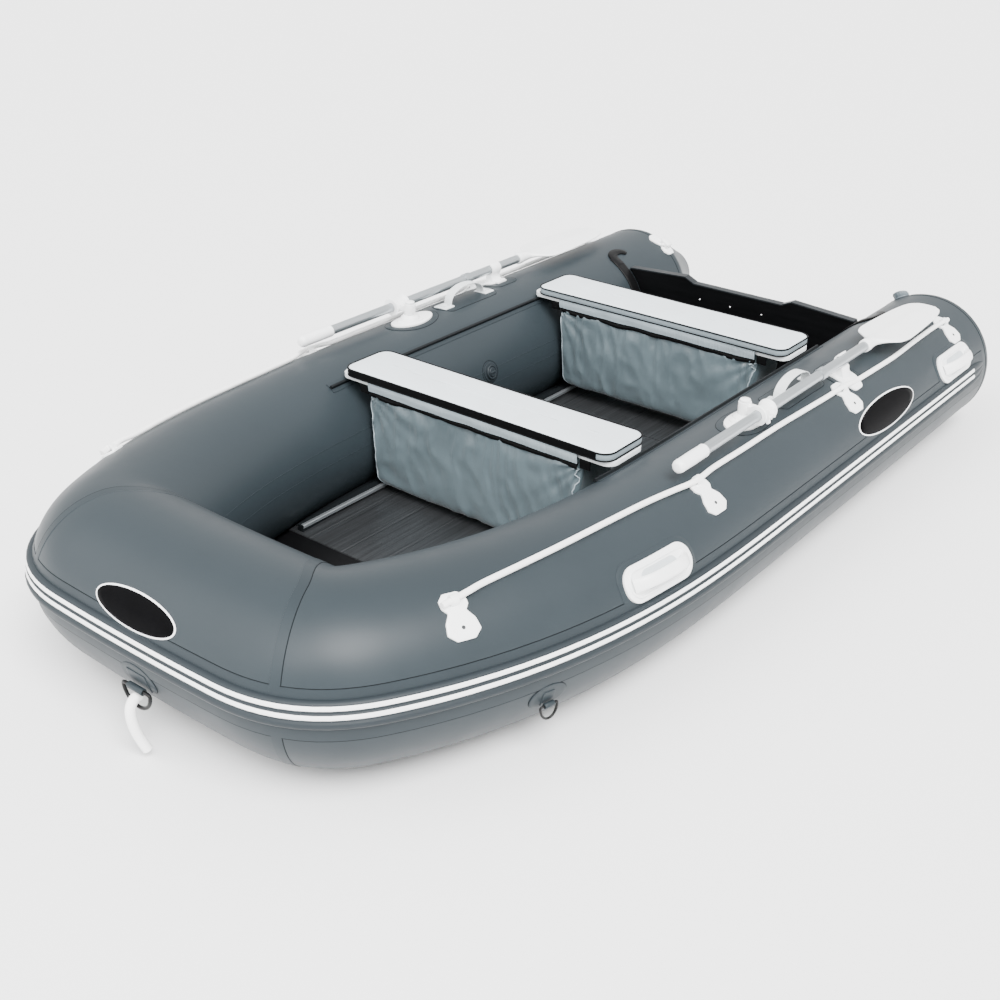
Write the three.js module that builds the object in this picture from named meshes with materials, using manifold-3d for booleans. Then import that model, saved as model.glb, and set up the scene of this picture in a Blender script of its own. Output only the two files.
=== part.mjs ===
// Inflatable dinghy, millimetres. +Z up, bow toward -Y, port side +X, floor of the world at Z = 0.
// Hull coordinates: s is the length along the port half of the tube centreline from the bow
// middle, phi is the angle round the tube (0 outboard, 90 up, 180 inboard), r is height above the skin.
import * as THREE from 'three';
import Module from 'manifold-3d';
import { mergeVertices, mergeGeometries } from 'three/addons/utils/BufferGeometryUtils.js';

const wasm = await Module();
wasm.setup();

// ---- driving dimensions ----
const Y_MID = 387;            // hull Y of the middle of the overall length; the whole model is shifted by this
const R = 211;                // tube radius
const ZC = 211;               // tube centre height aft
const WALL = 6;               // tube skin
const BOW_Y = -888;           // tube centre at the bow
const RISE = 29.5, RISE_Y = -31.7, RISE_P = 1.778;   // sheer of the bow
const S1 = 235.2, S2 = 199.7, S3 = 1151;             // bow flat half, corner, side taper lengths
const K0 = 0.0001486, K1 = 0.0008313;                // curvatures of bow and side, 1/mm
const CONE_Y = 1701, CONE_L = 186, CONE_END = 0.416, CONE_P = 1.175, CONE_IN = 31, CONE_UP = 12;
const GAP = 0.3;
const TUBE_N = 28;            // facets round a tube
const BENCH_L = 900, BENCH_W = 177, BENCH_TOP = 439, CUSHION_T = 24, BOARD_T = 15, BOARD_L = 940;
const REAR_BENCH_Y = 897;
const FLOOR_Z = 80, FLOOR_T = 12, FLOOR_BOW_Y = -312;
const TRANSOM_Y = 1425, TRANSOM_T = 25;
const OAR_X = 634, OAR_Z = 461, SHAFT_R = 14, GRIP_R = 17;
const PIN_X = 582, PIN_Y = 430;
const ROPE_D = 14, PAINTER_D = 24;

// ---- materials ----
const std = (color, roughness, metalness = 0) => new THREE.MeshStandardMaterial({ color, roughness, metalness });
const M = {
  tube: std(0x76838a, 0.45), white: std(0xf0f2f2, 0.4), black: std(0x161718, 0.5), strake: std(0x66727a, 0.5),
  cushion: std(0xe6e9ea, 0.7), bag: std(0x98a6aa, 0.5), alu: std(0x8f9699, 0.4, 0.9), aluShaft: std(0xc4c8ca, 0.3, 0.9),
  ply: std(0x0e0f10, 0.4), skin: std(0x5c666d, 0.6), rope: std(0xf2f3f3, 0.8), board: std(0xe3e6e7, 0.5), edge: std(0xb9c0c3, 0.5),
};
const group = new THREE.Group();
group.name = 'inflatable_dinghy';

// ---- hull centreline ----
const KC = (Math.PI / 2 - K0 * S1 - (K0 + K1) * S2 / 4 - K1 * S3 / 2) / (S2 / 2);
const curv = (s) => {
  const kn = [0, S1, S1 + S2 / 2, S1 + S2, S1 + S2 + S3], ks = [K0, K0, KC, K1, 0];
  for (let i = 0; i < 4; i++) if (s <= kn[i + 1]) return ks[i] + (ks[i + 1] - ks[i]) * (s - kn[i]) / (kn[i + 1] - kn[i]);
  return 0;
};
const LINE = [[0, BOW_Y, 0]];
for (let s = 0; s < 3200; s++) {
  const [x, y, t] = LINE[s], t2 = t + curv(s + 0.5), tm = (t + t2) / 2;
  LINE.push([x + Math.cos(tm), y + Math.sin(tm), t2]);
}
const line = (s) => {
  const a = Math.abs(s), i = Math.min(Math.floor(a), LINE.length - 2), f = a - i, p = LINE[i], q = LINE[i + 1];
  const v = [p[0] + (q[0] - p[0]) * f, p[1] + (q[1] - p[1]) * f, p[2] + (q[2] - p[2]) * f];
  return s < 0 ? [-v[0], v[1], v[2]] : v;
};
const sAtY = (y) => { let a = 0, b = 3200; for (let i = 0; i < 40; i++) { const m = (a + b) / 2; if (line(m)[1] < y) a = m; else b = m; } return a; };
const sheer = (y) => RISE * Math.pow(Math.min(Math.max((RISE_Y - y) / (RISE_Y - BOW_Y), 0), 1), RISE_P);
const cone = (y) => {
  const u = Math.min(Math.max((y - CONE_Y) / CONE_L, 0), 1);
  return { k: CONE_END + (1 - CONE_END) * (1 - Math.pow(u, CONE_P)), dx: CONE_IN * u * u, dz: CONE_UP * u * u };
};
// a point on (or r above) the tube skin; s < 0 is the starboard half
const surf = (s, phiDeg, r = 0, base = R) => {
  const [x, y, t] = line(s), g = s < 0 ? -1 : 1, c = cone(y);
  const ph = phiDeg * Math.PI / 180, rr = base * c.k + r;
  return new THREE.Vector3(
    x - g * c.dx + g * rr * Math.cos(ph) * Math.sin(t),
    y - rr * Math.cos(ph) * Math.cos(t),
    ZC + sheer(y) + c.dz + rr * Math.sin(ph));
};

// ---- mesh helpers ----
const fromTris = (pts, tris) => {
  let vol = 0;
  for (const [a, b, c] of tris) vol += pts[a].dot(new THREE.Vector3().crossVectors(pts[b], pts[c]));
  const g = new THREE.BufferGeometry();
  g.setAttribute('position', new THREE.Float32BufferAttribute(pts.flatMap((p) => [p.x, p.y, p.z]), 3));
  g.setIndex(tris.flatMap(([a, b, c]) => (vol < 0 ? [a, c, b] : [a, b, c])));
  return mergeVertices(g, 1e-3);
};
const clean = (g) => { const c = g.clone(); for (const k of Object.keys(c.attributes)) if (k !== 'position') c.deleteAttribute(k); return mergeVertices(c, 1e-3); };
const solid = (g) => {
  const c = clean(g), idx = c.index.array, tri = [];
  for (let i = 0; i < idx.length; i += 3) if (idx[i] !== idx[i + 1] && idx[i + 1] !== idx[i + 2] && idx[i] !== idx[i + 2]) tri.push(idx[i], idx[i + 1], idx[i + 2]);
  return new wasm.Manifold(new wasm.Mesh({ numProp: 3, vertProperties: new Float32Array(c.attributes.position.array), triVerts: new Uint32Array(tri) }));
};
const back = (m) => {
  const k = m.getMesh(), g = new THREE.BufferGeometry();
  g.setAttribute('position', new THREE.BufferAttribute(new Float32Array(k.vertProperties), 3));
  g.setIndex(Array.from(k.triVerts));
  return g;
};
const join = (...gs) => back(gs.map(solid).reduce((a, b) => a.add(b)));
const cut = (a, ...bs) => back(bs.map(solid).reduce((m, b) => m.subtract(b), solid(a)));
// rings of equal length joined into a closed skin; the ends are closed flat unless the path itself closes
const loft = (rings, closed = false, ends = 'fan') => {
  const n = rings[0].length, pts = rings.flat(), tris = [];
  const m = rings.length, last = closed ? m : m - 1;
  for (let i = 0; i < last; i++) for (let j = 0; j < n; j++) {
    const a = i * n + j, b = i * n + (j + 1) % n, c = ((i + 1) % m) * n + (j + 1) % n, d = ((i + 1) % m) * n + j;
    tris.push([a, b, c], [a, c, d]);
  }
  if (!closed) for (const [o, flip] of [[0, true], [(m - 1) * n, false]]) {
    if (ends === 'fan') {
      const c = new THREE.Vector3(); for (let j = 0; j < n; j++) c.add(pts[o + j]); c.multiplyScalar(1 / n);
      const k = pts.push(c) - 1;
      for (let j = 0; j < n; j++) { const a = o + j, b = o + (j + 1) % n; tris.push(flip ? [k, b, a] : [k, a, b]); }
    } else {
      for (const [a, b, c] of ends) tris.push(flip ? [o + a, o + c, o + b] : [o + a, o + b, o + c]);
    }
  }
  return fromTris(pts, tris);
};
// end-face triangles, turned the same way round as the outline itself
const flatTris = (poly) => {
  const way = Math.sign(THREE.ShapeUtils.area(poly.map(([x, y]) => new THREE.Vector2(x, y))));
  return THREE.ShapeUtils.triangulateShape(poly.map(([x, y]) => new THREE.Vector2(x, y)), []).map(([a, b, c]) => {
    const [p, q, r] = [poly[a], poly[b], poly[c]];
    return Math.sign((q[0] - p[0]) * (r[1] - p[1]) - (r[0] - p[0]) * (q[1] - p[1])) === way ? [a, b, c] : [a, c, b];
  });
};
const mirrorX = (g) => {
  const c = g.clone().applyMatrix4(new THREE.Matrix4().makeScale(-1, 1, 1)), i = Array.from(c.index ? c.index.array : [...Array(c.attributes.position.count).keys()]);
  for (let k = 0; k < i.length; k += 3) [i[k + 1], i[k + 2]] = [i[k + 2], i[k + 1]];
  c.setIndex(i);
  return c;
};
const add = (name, geo, mat) => { const g = clean(geo); g.computeVertexNormals(); const m = new THREE.Mesh(g, mat); m.name = name; group.add(m); return m; };
const both = (name, geo, mat) => { add(name + '_port', geo, mat); add(name + '_starboard', mirrorX(geo), mat); };
const box = (x0, x1, y0, y1, z0, z1) => new THREE.BoxGeometry(x1 - x0, y1 - y0, z1 - z0).translate((x0 + x1) / 2, (y0 + y1) / 2, (z0 + z1) / 2);
// lathe about local Z from [radius, height] pairs, then placed
const lathe = (profile, seg = 20, closed = false) => {
  const p = profile.map(([r, z]) => new THREE.Vector2(r, z));
  if (closed) p.push(p[0].clone());
  return new THREE.LatheGeometry(p, seg).rotateX(Math.PI / 2);
};
const roundRect = (w, d, r, seg = 5) => {
  const out = [];
  for (const [cx, cy, a0] of [[w / 2 - r, d / 2 - r, 0], [-w / 2 + r, d / 2 - r, 90], [-w / 2 + r, -d / 2 + r, 180], [w / 2 - r, -d / 2 + r, 270]])
    for (let k = 0; k <= seg; k++) { const a = (a0 + 90 * k / seg) * Math.PI / 180; out.push([cx + r * Math.cos(a), cy + r * Math.sin(a)]); }
  return out;
};
// upright prism from an XY outline
const prismZ = (poly, z0, z1) => loft([poly.map(([x, y]) => new THREE.Vector3(x, y, z0)), poly.map(([x, y]) => new THREE.Vector3(x, y, z1))], false, flatTris(poly));
// prism along Y from an XZ outline
const prismY = (poly, y0, y1) => loft([poly.map(([x, z]) => new THREE.Vector3(x, y0, z)), poly.map(([x, z]) => new THREE.Vector3(x, y1, z))], false, flatTris(poly));

// ---- tubes: three air chambers that meet on mitre planes at the bow corners ----
const S_M = S1 + S2 / 2;
const [MX, MY, MT] = line(S_M);
const across = (s, d) => { const [x, y, t] = line(s); return (x + d * Math.sin(t) - MX) * Math.cos(MT) + (y - d * Math.cos(t) - MY) * Math.sin(MT); };
// where the run of skin at sideways offset d reaches the mitre plane, shifted by e along the tube
const mitreBow = (d, e) => { let best = 0, bv = -1e9; for (let s = 0; s <= S_M + 60; s += 0.5) { const f = across(s, d); if (f >= e) return s; if (f > bv) { bv = f; best = s; } } return best; };
const mitreSide = (d, e) => { let best = 0, bv = 1e9; for (let s = 900; s >= S_M - 60; s -= 0.5) { const f = across(s, d); if (f <= e) return s; if (f < bv) { bv = f; best = s; } } return best; };
const CORNER = []; for (let k = 0; k <= 5; k++) CORNER.push(S1 + (S_M - S1) * k / 5);
const BOW_ST = [0, 115, ...CORNER];
const SIDE_ST = [...CORNER.map((v) => 2 * S_M - v).reverse()];
for (let k = 1; k <= 9; k++) SIDE_ST.push(S1 + S2 + S3 * k / 9);
const S_CONE = sAtY(CONE_Y), S_TIP = sAtY(CONE_Y + CONE_L);
SIDE_ST.push(S_CONE);
for (const u of [0.3, 0.6, 0.85, 1]) SIDE_ST.push(S_CONE + (S_TIP - S_CONE) * u);
const tubeRings = (part, n, base, e, keep) => {
  const ph = [...Array(n).keys()].map((j) => j * 360 / n);
  const st = (part === 'bow' ? BOW_ST : SIDE_ST).filter((_, i, a) => keep(i, a.length));
  if (part === 'bow') {
    const ends = ph.map((p) => mitreBow(base * Math.cos(p * Math.PI / 180), -e));
    const half = st.map((b) => ph.map((p, j) => surf(b * ends[j] / S_M, p, 0, base)));
    const other = st.slice(1).reverse().map((b) => ph.map((p, j) => surf(-b * ends[j] / S_M, p, 0, base)));
    return [...other, ...half];
  }
  const ends = ph.map((p) => mitreSide(base * Math.cos(p * Math.PI / 180), e));
  const SE = 1000;
  return st.map((b) => ph.map((p, j) => surf(b < SE ? SE - (SE - b) * (SE - ends[j]) / (SE - S_M) : b, p, 0, base)));
};
{
  const all = () => true;
  const outerBow = loft(tubeRings('bow', TUBE_N, R, GAP, all));
  const innerBow = loft(tubeRings('bow', 14, R - WALL, -8, (i) => i === 0 || i === 2 || i === 4 || i === 6 || i === 7));
  add('tube_bow', cut(outerBow, innerBow), M.tube);
  const outerSide = loft(tubeRings('side', TUBE_N, R, GAP, all));
  // the chamber stops short of the blunt stern end
  const inner = tubeRings('side', 14, R - WALL, -8, (i, n) => i < n - 1 && (i < 6 ? [0, 2, 4, 5].includes(i) : i % 2 === 0 || i > n - 6));
  const side = cut(outerSide, loft(inner));
  add('tube_port', side, M.tube);
  add('tube_starboard', mirrorX(side), M.tube);
}

// ---- parts that follow the skin ----
// closed profile of [distance round the skin, height r] swept along the given stations
const refine = (poly, step, pick = () => true) => {
  const out = [];
  poly.forEach((p, i) => {
    const q = poly[(i + 1) % poly.length], n = pick(p, q) ? Math.max(1, Math.ceil(Math.abs(q[0] - p[0]) / step)) : 1;
    for (let k = 0; k < n; k++) out.push([p[0] + (q[0] - p[0]) * k / n, p[1] + (q[1] - p[1]) * k / n]);
  });
  return out;
};
const sweep = (outline, phi0, stations) => {
  const profile = refine(outline, 13, (p, q) => p[1] < 1 && q[1] < 1);
  const rings = stations.map((s) => profile.map(([a, r]) => surf(s, phi0 + a / R * 180 / Math.PI, r)));
  return loft(rings, false, flatTris(profile));
};
// local flat geometry (u along the hull aft, v round the skin upward, w off the skin) wrapped onto the port tube
const wrap = (g, s0, phi0) => {
  const c = clean(g), p = c.attributes.position;
  const k = curv(s0), f = 1 / (1 + k * R * Math.cos(phi0 * Math.PI / 180));
  for (let i = 0; i < p.count; i++) {
    const q = surf(s0 + p.getX(i) * f, phi0 + p.getY(i) / R * 180 / Math.PI, p.getZ(i));
    p.setXYZ(i, q.x, q.y, q.z);
  }
  // u, v, w is left-handed on the port side, so the faces turn over
  const ix = c.index.array, tris = [], pts = [];
  for (let i = 0; i < p.count; i++) pts.push(new THREE.Vector3().fromBufferAttribute(p, i));
  for (let i = 0; i < ix.length; i += 3) if (ix[i] !== ix[i + 1] && ix[i + 1] !== ix[i + 2] && ix[i] !== ix[i + 2]) tris.push([ix[i], ix[i + 1], ix[i + 2]]);
  return fromTris(pts, tris);
};
// flat plate from a star-shaped outline, ringed so that it bends with the skin
const plate = (shape, w0, w1, rings = 2, cx = 0, cy = 0) => {
  const outline = refine(shape.map(([x, y]) => [y, x]), 27).map(([y, x]) => [x, y]);
  const n = outline.length, pts = [], tris = [];
  for (const w of [w0, w1]) { pts.push(new THREE.Vector3(cx, cy, w)); for (let k = 1; k <= rings; k++) for (const [x, y] of outline) pts.push(new THREE.Vector3(cx + (x - cx) * k / rings, cy + (y - cy) * k / rings, w)); }
  const L = 1 + rings * n;
  for (const [o, f] of [[0, true], [L, false]]) for (let j = 0; j < n; j++) {
    const q = (j + 1) % n, t = (a, b, c) => tris.push(f ? [a, c, b] : [a, b, c]);
    t(o, o + 1 + j, o + 1 + q);
    for (let k = 0; k < rings - 1; k++) { const a = o + 1 + k * n; t(a + j, a + n + j, a + n + q); t(a + j, a + n + q, a + q); }
  }
  const e = 1 + (rings - 1) * n;
  for (let j = 0; j < n; j++) { const q = (j + 1) % n; tris.push([e + j, e + q, L + e + q], [e + j, L + e + q, L + e + j]); }
  return fromTris(pts, tris);
};
const ellipse = (a, b, n = 24) => [...Array(n).keys()].map((k) => [a * Math.cos(k / n * 2 * Math.PI), b * Math.sin(k / n * 2 * Math.PI)]);

// rubbing strake: twin raised beads over a rounded fender lip, from quarter to quarter round the bow
{
  const half = [0, 115, ...CORNER, ...CORNER.slice(0, -1).map((v) => 2 * S_M - v).reverse()];
  for (let k = 1; k <= 9; k++) half.push(S1 + S2 + S3 * k / 9);
  half.push(sAtY(1655));
  const profile = [[24, 0.4], [22, 5], [14, 13], [5, 13.5], [0, 10], [-5, 13.5], [-14, 13], [-22, 15], [-34, 12], [-40, 0.4]];
  add('rubbing_strake', sweep(profile, 10.6, [...half.slice(1).reverse().map((v) => -v), ...half]), M.strake);
}

// seat rails on the inboard shoulders of the tubes
{
  const st = [-57, 20, 110, 300, 1110].map(sAtY);
  both('seat_rail', sweep([[17, 0.4], [17, 2.4], [3, 2.6], [2, 5.5], [4, 7.5], [2.5, 10.5], [-2.5, 10.5], [-4, 7.5], [-2, 5.5], [-3, 2.6], [-17, 2.4], [-17, 0.4]], 123, st), M.skin);
}

// transom flanges: bands round the inboard side of each tube that hold the board
{
  const s0 = sAtY(TRANSOM_Y - 48), s1 = sAtY(TRANSOM_Y - 5), N = 24, P0 = 100, P1 = 230, rings = [];
  for (let k = 0; k <= N; k++) { const p = P0 + (P1 - P0) * k / N; rings.push([surf(s0, p, 0.6), surf(s1, p, 0.6), surf(s1, p, 4.5), surf(s0, p, 4.5)]); }
  both('transom_flange', loft(rings), M.black);
}

// grab-line patches, four a side: waisted plates with two screw holes left open
const PATCH = [[-664, 50], [76, 56], [826, 57], [1524, 56]];
{
  const outline = [[-20, 52], [20, 52], [34, 26], [24, 0], [34, -26], [20, -52], [-20, -52], [-34, -26], [-24, 0], [-34, 26]];
  PATCH.forEach(([y, phi], i) => both('line_patch_' + (i + 1), wrap(plate(outline, 1.1, 5, 2), sAtY(y), phi), M.white));
}

// moulded carry handles: rounded base plate, finger recess rim and a grip bar on two posts
const HANDLE = [['bow', -190, 30], ['stern', 1450, 29]];
{
  const base = plate(roundRect(232, 86, 40, 3), 0.8, 7, 2);
  const barPoly = [[-92, 5], [-92, 22], [-80, 36], [-60, 42], [60, 42], [80, 36], [92, 22], [92, 5], [64, 5], [62, 20], [50, 27], [-50, 27], [-62, 20], [-64, 5]];
  const bar = prismY(barPoly, -14, 12);
  for (const [n, y, phi] of HANDLE) both('carry_handle_' + n, join(wrap(base, sAtY(y), phi), wrap(bar, sAtY(y), phi)), M.white);
}

// towing and lifting D-rings on sewn chapes
const dring = (w, depth, wire) => {
  const path = [], n = 8;
  path.push([-w / 2 + wire, 0], [0, 0], [w / 2 - wire, 0]);
  for (let k = 0; k <= n; k++) { const a = Math.PI * k / n; path.push([w / 2 * Math.cos(a), -wire - (depth - wire) * Math.sin(a)]); }
  const rings = path.map(([x, z], i) => {
    const p = path[(i + path.length - 1) % path.length], q = path[(i + 1) % path.length];
    const t = new THREE.Vector2(q[0] - p[0], q[1] - p[1]).normalize();
    return [...Array(8).keys()].map((j) => { const a = j * Math.PI / 4, c = wire * Math.cos(a), d = wire * Math.sin(a); return new THREE.Vector3(x + t.y * c, d, z - t.x * c); });
  });
  return loft(rings, true);
};
const RINGS = {};
const ringSet = (name, s, phi, w, depth, wire, off, patchR, mirror = false) => {
  const p = surf(s, phi, off), t = line(s)[2];
  const turn = new THREE.Matrix4().makeRotationZ(t).setPosition(p);
  const ring = dring(w, depth, wire).applyMatrix4(turn);
  const eye = lathe([[wire + 0.6, -w * 0.28], [wire + 3.6, -w * 0.28], [wire + 3.6, w * 0.28], [wire + 0.6, w * 0.28]], 12, true).rotateY(Math.PI / 2).applyMatrix4(turn);
  const pad = wrap(plate(ellipse(patchR, patchR * 0.68, 14), 0.8, 3.4, 2), s, phi + 4.5);
  // web between the pad and the eye
  const n = new THREE.Vector3().subVectors(surf(s, phi, off), surf(s, phi, 0)).normalize();
  const tx = new THREE.Vector3(Math.cos(t), Math.sin(t), 0), ty = new THREE.Vector3().crossVectors(n, tx);
  const basis = new THREE.Matrix4().makeBasis(tx, ty, n).setPosition(surf(s, phi, 0));
  const web = box(-w * 0.24, w * 0.24, -3, 3, 1.6, off - wire - 1.2).applyMatrix4(basis);
  const chape = join(pad, web, eye);
  RINGS[name] = { p, t };
  add('dring_' + name, mirror ? mirrorX(ring) : ring, M.black);
  add('dring_chape_' + name, mirror ? mirrorX(chape) : chape, M.tube);
};
ringSet('bow', 0.001, -20, 90, 48, 4.5, 16, 58);
ringSet('port', sAtY(-508), -22, 46, 36, 3, 12, 50);
ringSet('starboard', sAtY(-508), -22, 46, 36, 3, 12, 50, true);

// air valves: starboard chamber on the inboard side, port chamber on the quarter
{
  const place = (s, phi, ...parts) => join(...parts.map((g) => wrap(g, s, phi)));
  add('valve_starboard', mirrorX(place(sAtY(561), 165, plate(ellipse(30, 30, 16), 0.8, 4, 1), lathe([[0, 3], [21, 3], [21, 9], [16, 12], [0, 12]], 16))), M.strake);
  add('valve_port', place(sAtY(1725), 124, plate(ellipse(27, 27, 16), 1.6, 4.4, 1), lathe([[0, 3], [22, 3], [24, 9], [24, 20], [20, 23], [0, 23]], 16)), M.edge);
}

// ---- bottom skin, floor ----
{
  const EDGE = -84, ss = [S1, ...CORNER.slice(2), ...CORNER.slice(0, -1).map((v) => 2 * S_M - v).reverse().filter((_, i) => i % 2)];
  for (let k = 1; k <= 8; k++) ss.push(S1 + S2 + S3 * k / 8);
  ss.push(sAtY(TRANSOM_Y - 4));
  const rows = ss.map((s) => { const [x, y, t] = line(s); return [x + EDGE * Math.sin(t), y - EDGE * Math.cos(t), sheer(y)]; });
  const rings = rows.map(([x, y, h]) => {
    const top = [], bot = [];
    for (const t of [-1, -0.5, 0, 0.5, 1]) { const z = 2.5 + h + 8 * Math.abs(t); top.push(new THREE.Vector3(x * t, y, z + 3.5)); bot.unshift(new THREE.Vector3(x * t, y, z)); }
    return [...top, ...bot];
  });
  const poly = rings[0].map((v) => [v.x, v.z]);
  add('bottom_skin', loft(rings, false, flatTris(poly)), M.skin);
}
// outline of the cockpit floor at sideways offset d from the tube centreline, port half, bow to stern
const floorEdge = (d) => {
  const out = [], sb = mitreBow(d, -2), sd = mitreSide(d, 2);
  const pt = (s) => { const [x, y, t] = line(s); return [x + d * Math.sin(t), y - d * Math.cos(t)]; };
  out.push(pt(sb));
  for (let s = sd; s < sAtY(1400); s += 60) out.push(pt(s));
  return out;
};
const FLOOR_D = -169;
const edgeX = (y) => { const e = floorEdge(FLOOR_D); for (let i = 0; i < e.length - 1; i++) if (e[i + 1][1] >= y) return e[i][0] + (e[i + 1][0] - e[i][0]) * (y - e[i][1]) / (e[i + 1][1] - e[i][1]); return e[e.length - 1][0]; };
const panel = (y0, y1) => {
  const port = [[edgeX(y0), y0]];
  for (const [x, y] of floorEdge(FLOOR_D)) if (y > y0 + 8 && y < y1 - 8) port.push([x, y]);
  port.push([edgeX(y1), y1]);
  const thin = port.filter((_, i) => i === 0 || i === port.length - 1 || i % 2 === 0);
  return prismZ([...thin, ...thin.slice().reverse().map(([x, y]) => [-x, y])], FLOOR_Z - FLOOR_T, FLOOR_Z);
};
add('floor_panel_front', panel(FLOOR_BOW_Y, 248), M.alu);
add('floor_panel_middle', panel(248.6, 810), M.alu);
add('floor_panel_rear', panel(810.6, 1373), M.alu);
{
  const port = floorEdge(FLOOR_D - 6).filter(([x, y]) => y < FLOOR_BOW_Y - 10);
  port.push([edgeX(FLOOR_BOW_Y) - 6, FLOOR_BOW_Y - 0.6]);
  add('floor_bow_board', prismZ([...port, ...port.slice().reverse().map(([x, y]) => [-x, y])], FLOOR_Z - FLOOR_T, FLOOR_Z), M.ply);
}
// side stringers: straight bars that turn in slightly with the floor at the bow end
both('floor_stringer', prismZ([[364, 1370], [344, 1370], [342, 0], [328, -300], [347, -300], [362, 0]], FLOOR_Z + GAP, FLOOR_Z + 20), M.aluShaft);

// ---- transom ----
{
  const cx = line(sAtY(TRANSOM_Y))[0], rr = R + 2.5, hug = [];
  const top = [[431, 372], [204, 386], [167, 369]];
  for (let a = 128; a <= 238; a += 10) { const q = a * Math.PI / 180; const x = cx + rr * Math.cos(q), z = ZC + rr * Math.sin(q); if (z < 368) hug.push([x, z]); }
  const half = [...top.slice().reverse(), ...hug];
  const poly = [...half, ...half.slice().reverse().map(([x, z]) => [-x, z])];
  add('transom_board', prismY(poly, TRANSOM_Y, TRANSOM_Y + TRANSOM_T), M.ply);
  const up = (k) => [[-427, 372.2], [-204, 386], [-167, 369], [167, 369], [204, 386], [427, 372.2]].map(([x, z]) => [x, z + k]);
  add('transom_cap', prismY([...up(0.3), ...up(4.5).reverse()], TRANSOM_Y - 2, TRANSOM_Y + TRANSOM_T + 2), M.edge);
}

// ---- thwarts: board with under lips that run between the rails, cushion on top, bag below ----
const bench = (name, y0, bagBottom) => {
  const yc = y0 + BENCH_W / 2, zc = BENCH_TOP - CUSHION_T, zb = zc - GAP, z0 = zb - BOARD_T;
  const plan = roundRect(BOARD_L, BENCH_W - 6, 36, 4).map(([x, y]) => [x, y + yc]);
  const lip = (g) => box(g > 0 ? 429 : -435, g > 0 ? 435 : -429, yc - 60, yc + 60, 389, z0 + 2);
  add('bench_board_' + name, join(prismZ(plan, z0, zb), lip(1), lip(-1)), M.board);
  const o = roundRect(BENCH_L, BENCH_W, 22, 4), i = roundRect(BENCH_L - 8, BENCH_W - 8, 18, 4);
  const ring = (p, z) => p.map(([x, y]) => new THREE.Vector3(x, y + yc, z));
  add('cushion_' + name, loft([ring(i, zc), ring(o, zc + 3), ring(o, BENCH_TOP - 3), ring(i, BENCH_TOP)]), M.cushion);
  const T = z0 - 0.4, w = 350;
  add('bag_' + name, prismY([[w, T], [-w, T], [-w, bagBottom + 36], [-w + 10, bagBottom + 14], [-w + 38, bagBottom], [w - 38, bagBottom], [w - 10, bagBottom + 14], [w, bagBottom + 36]], y0 + 9, y0 + BENCH_W - 11), M.bag);
};
bench('front', 0, 97);
bench('rear', REAR_BENCH_Y, 118);

// ---- oars, swivels, keepers ----
{
  const along = (g, x, z) => g.rotateX(-Math.PI / 2).translate(x, 0, z);   // local Z becomes +Y
  const shaft = along(lathe([[0, 139.4], [SHAFT_R, 139.4], [SHAFT_R, 744], [17, 746], [17, 778], [SHAFT_R, 780], [SHAFT_R, 1048.6], [0, 1048.6]], 16), OAR_X, OAR_Z);
  both('oar_shaft', shaft, M.aluShaft);
  both('oar_grip', along(lathe([[0, 15], [12, 15], [16, 20], [GRIP_R, 30], [16, 60], [GRIP_R, 90], [16, 130], [14, 139], [0, 139]], 16), OAR_X, OAR_Z), M.white);
  // blade: round neck flattening into a plate
  const st = [[1049, 17, 17], [1078, 17, 15], [1100, 32, 9], [1140, 70, 5], [1180, 77, 4.5], [1300, 72, 4], [1420, 60, 4], [1462, 48, 3.5], [1482, 28, 3]];
  const rings = st.map(([y, a, b]) => [...Array(16).keys()].map((k) => { const q = k / 16 * 2 * Math.PI; const c = Math.cos(q), d = Math.sin(q); return new THREE.Vector3(OAR_X + a * c, y, OAR_Z + b * d); }));
  both('oar_blade', loft(rings), M.white);
  // socket with pin, on an oval foot
  const foot = wrap(plate(ellipse(82, 43, 18), 0.8, 6.4, 2), sAtY(PIN_Y + 8), 87.6);
  const pin = lathe([[0, 425.6], [28, 425.6], [28, 436], [20, 444], [8, 444], [8, 478], [14, 478], [14, 484], [0, 484]], 16).translate(PIN_X, PIN_Y, 0);
  both('oarlock_base', join(foot, pin), M.white);
  const hub = lathe([[8.6, 444.6], [17, 444.6], [17, 477.4], [8.6, 477.4]], 16, true).translate(PIN_X, PIN_Y, 0);
  const collar = along(lathe([[14.6, PIN_Y - 30], [27, PIN_Y - 30], [27, PIN_Y - 25], [20.5, PIN_Y - 24], [20.5, PIN_Y + 24], [27, PIN_Y + 25], [27, PIN_Y + 30], [14.6, PIN_Y + 30]], 16, true), OAR_X, OAR_Z);
  const arm = box(PIN_X + 13, OAR_X - 17, PIN_Y - 11, PIN_Y + 11, 452, 470);
  both('oarlock_swivel', join(hub, collar, arm), M.white);
  // keeper: cradle open outboard and upward, on a foot that follows the skin
  const tx = line(sAtY(900))[0], skinZ = (x) => ZC + Math.sqrt((R + 0.8) ** 2 - (x - tx) ** 2), poly = [];
  for (const x of [656, 646, 636, 626, 616, 606, 596]) poly.push([x, skinZ(x)]);
  poly.push([596, skinZ(596) + 4], [618, skinZ(618) + 6], [621, 436]);
  for (let a = 225; a >= 110; a -= 23) poly.push([OAR_X + 19.5 * Math.cos(a * Math.PI / 180), OAR_Z + 19.5 * Math.sin(a * Math.PI / 180)]);
  for (let a = 110; a <= 266; a += 19.5) poly.push([OAR_X + 14.9 * Math.cos(a * Math.PI / 180), OAR_Z + 14.9 * Math.sin(a * Math.PI / 180)]);
  poly.push([642, 442.5], [644, 430], [650, skinZ(650) + 6], [656, skinZ(656) + 4]);
  both('oar_keeper', prismY(poly, 876, 922), M.white);
}

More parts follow.
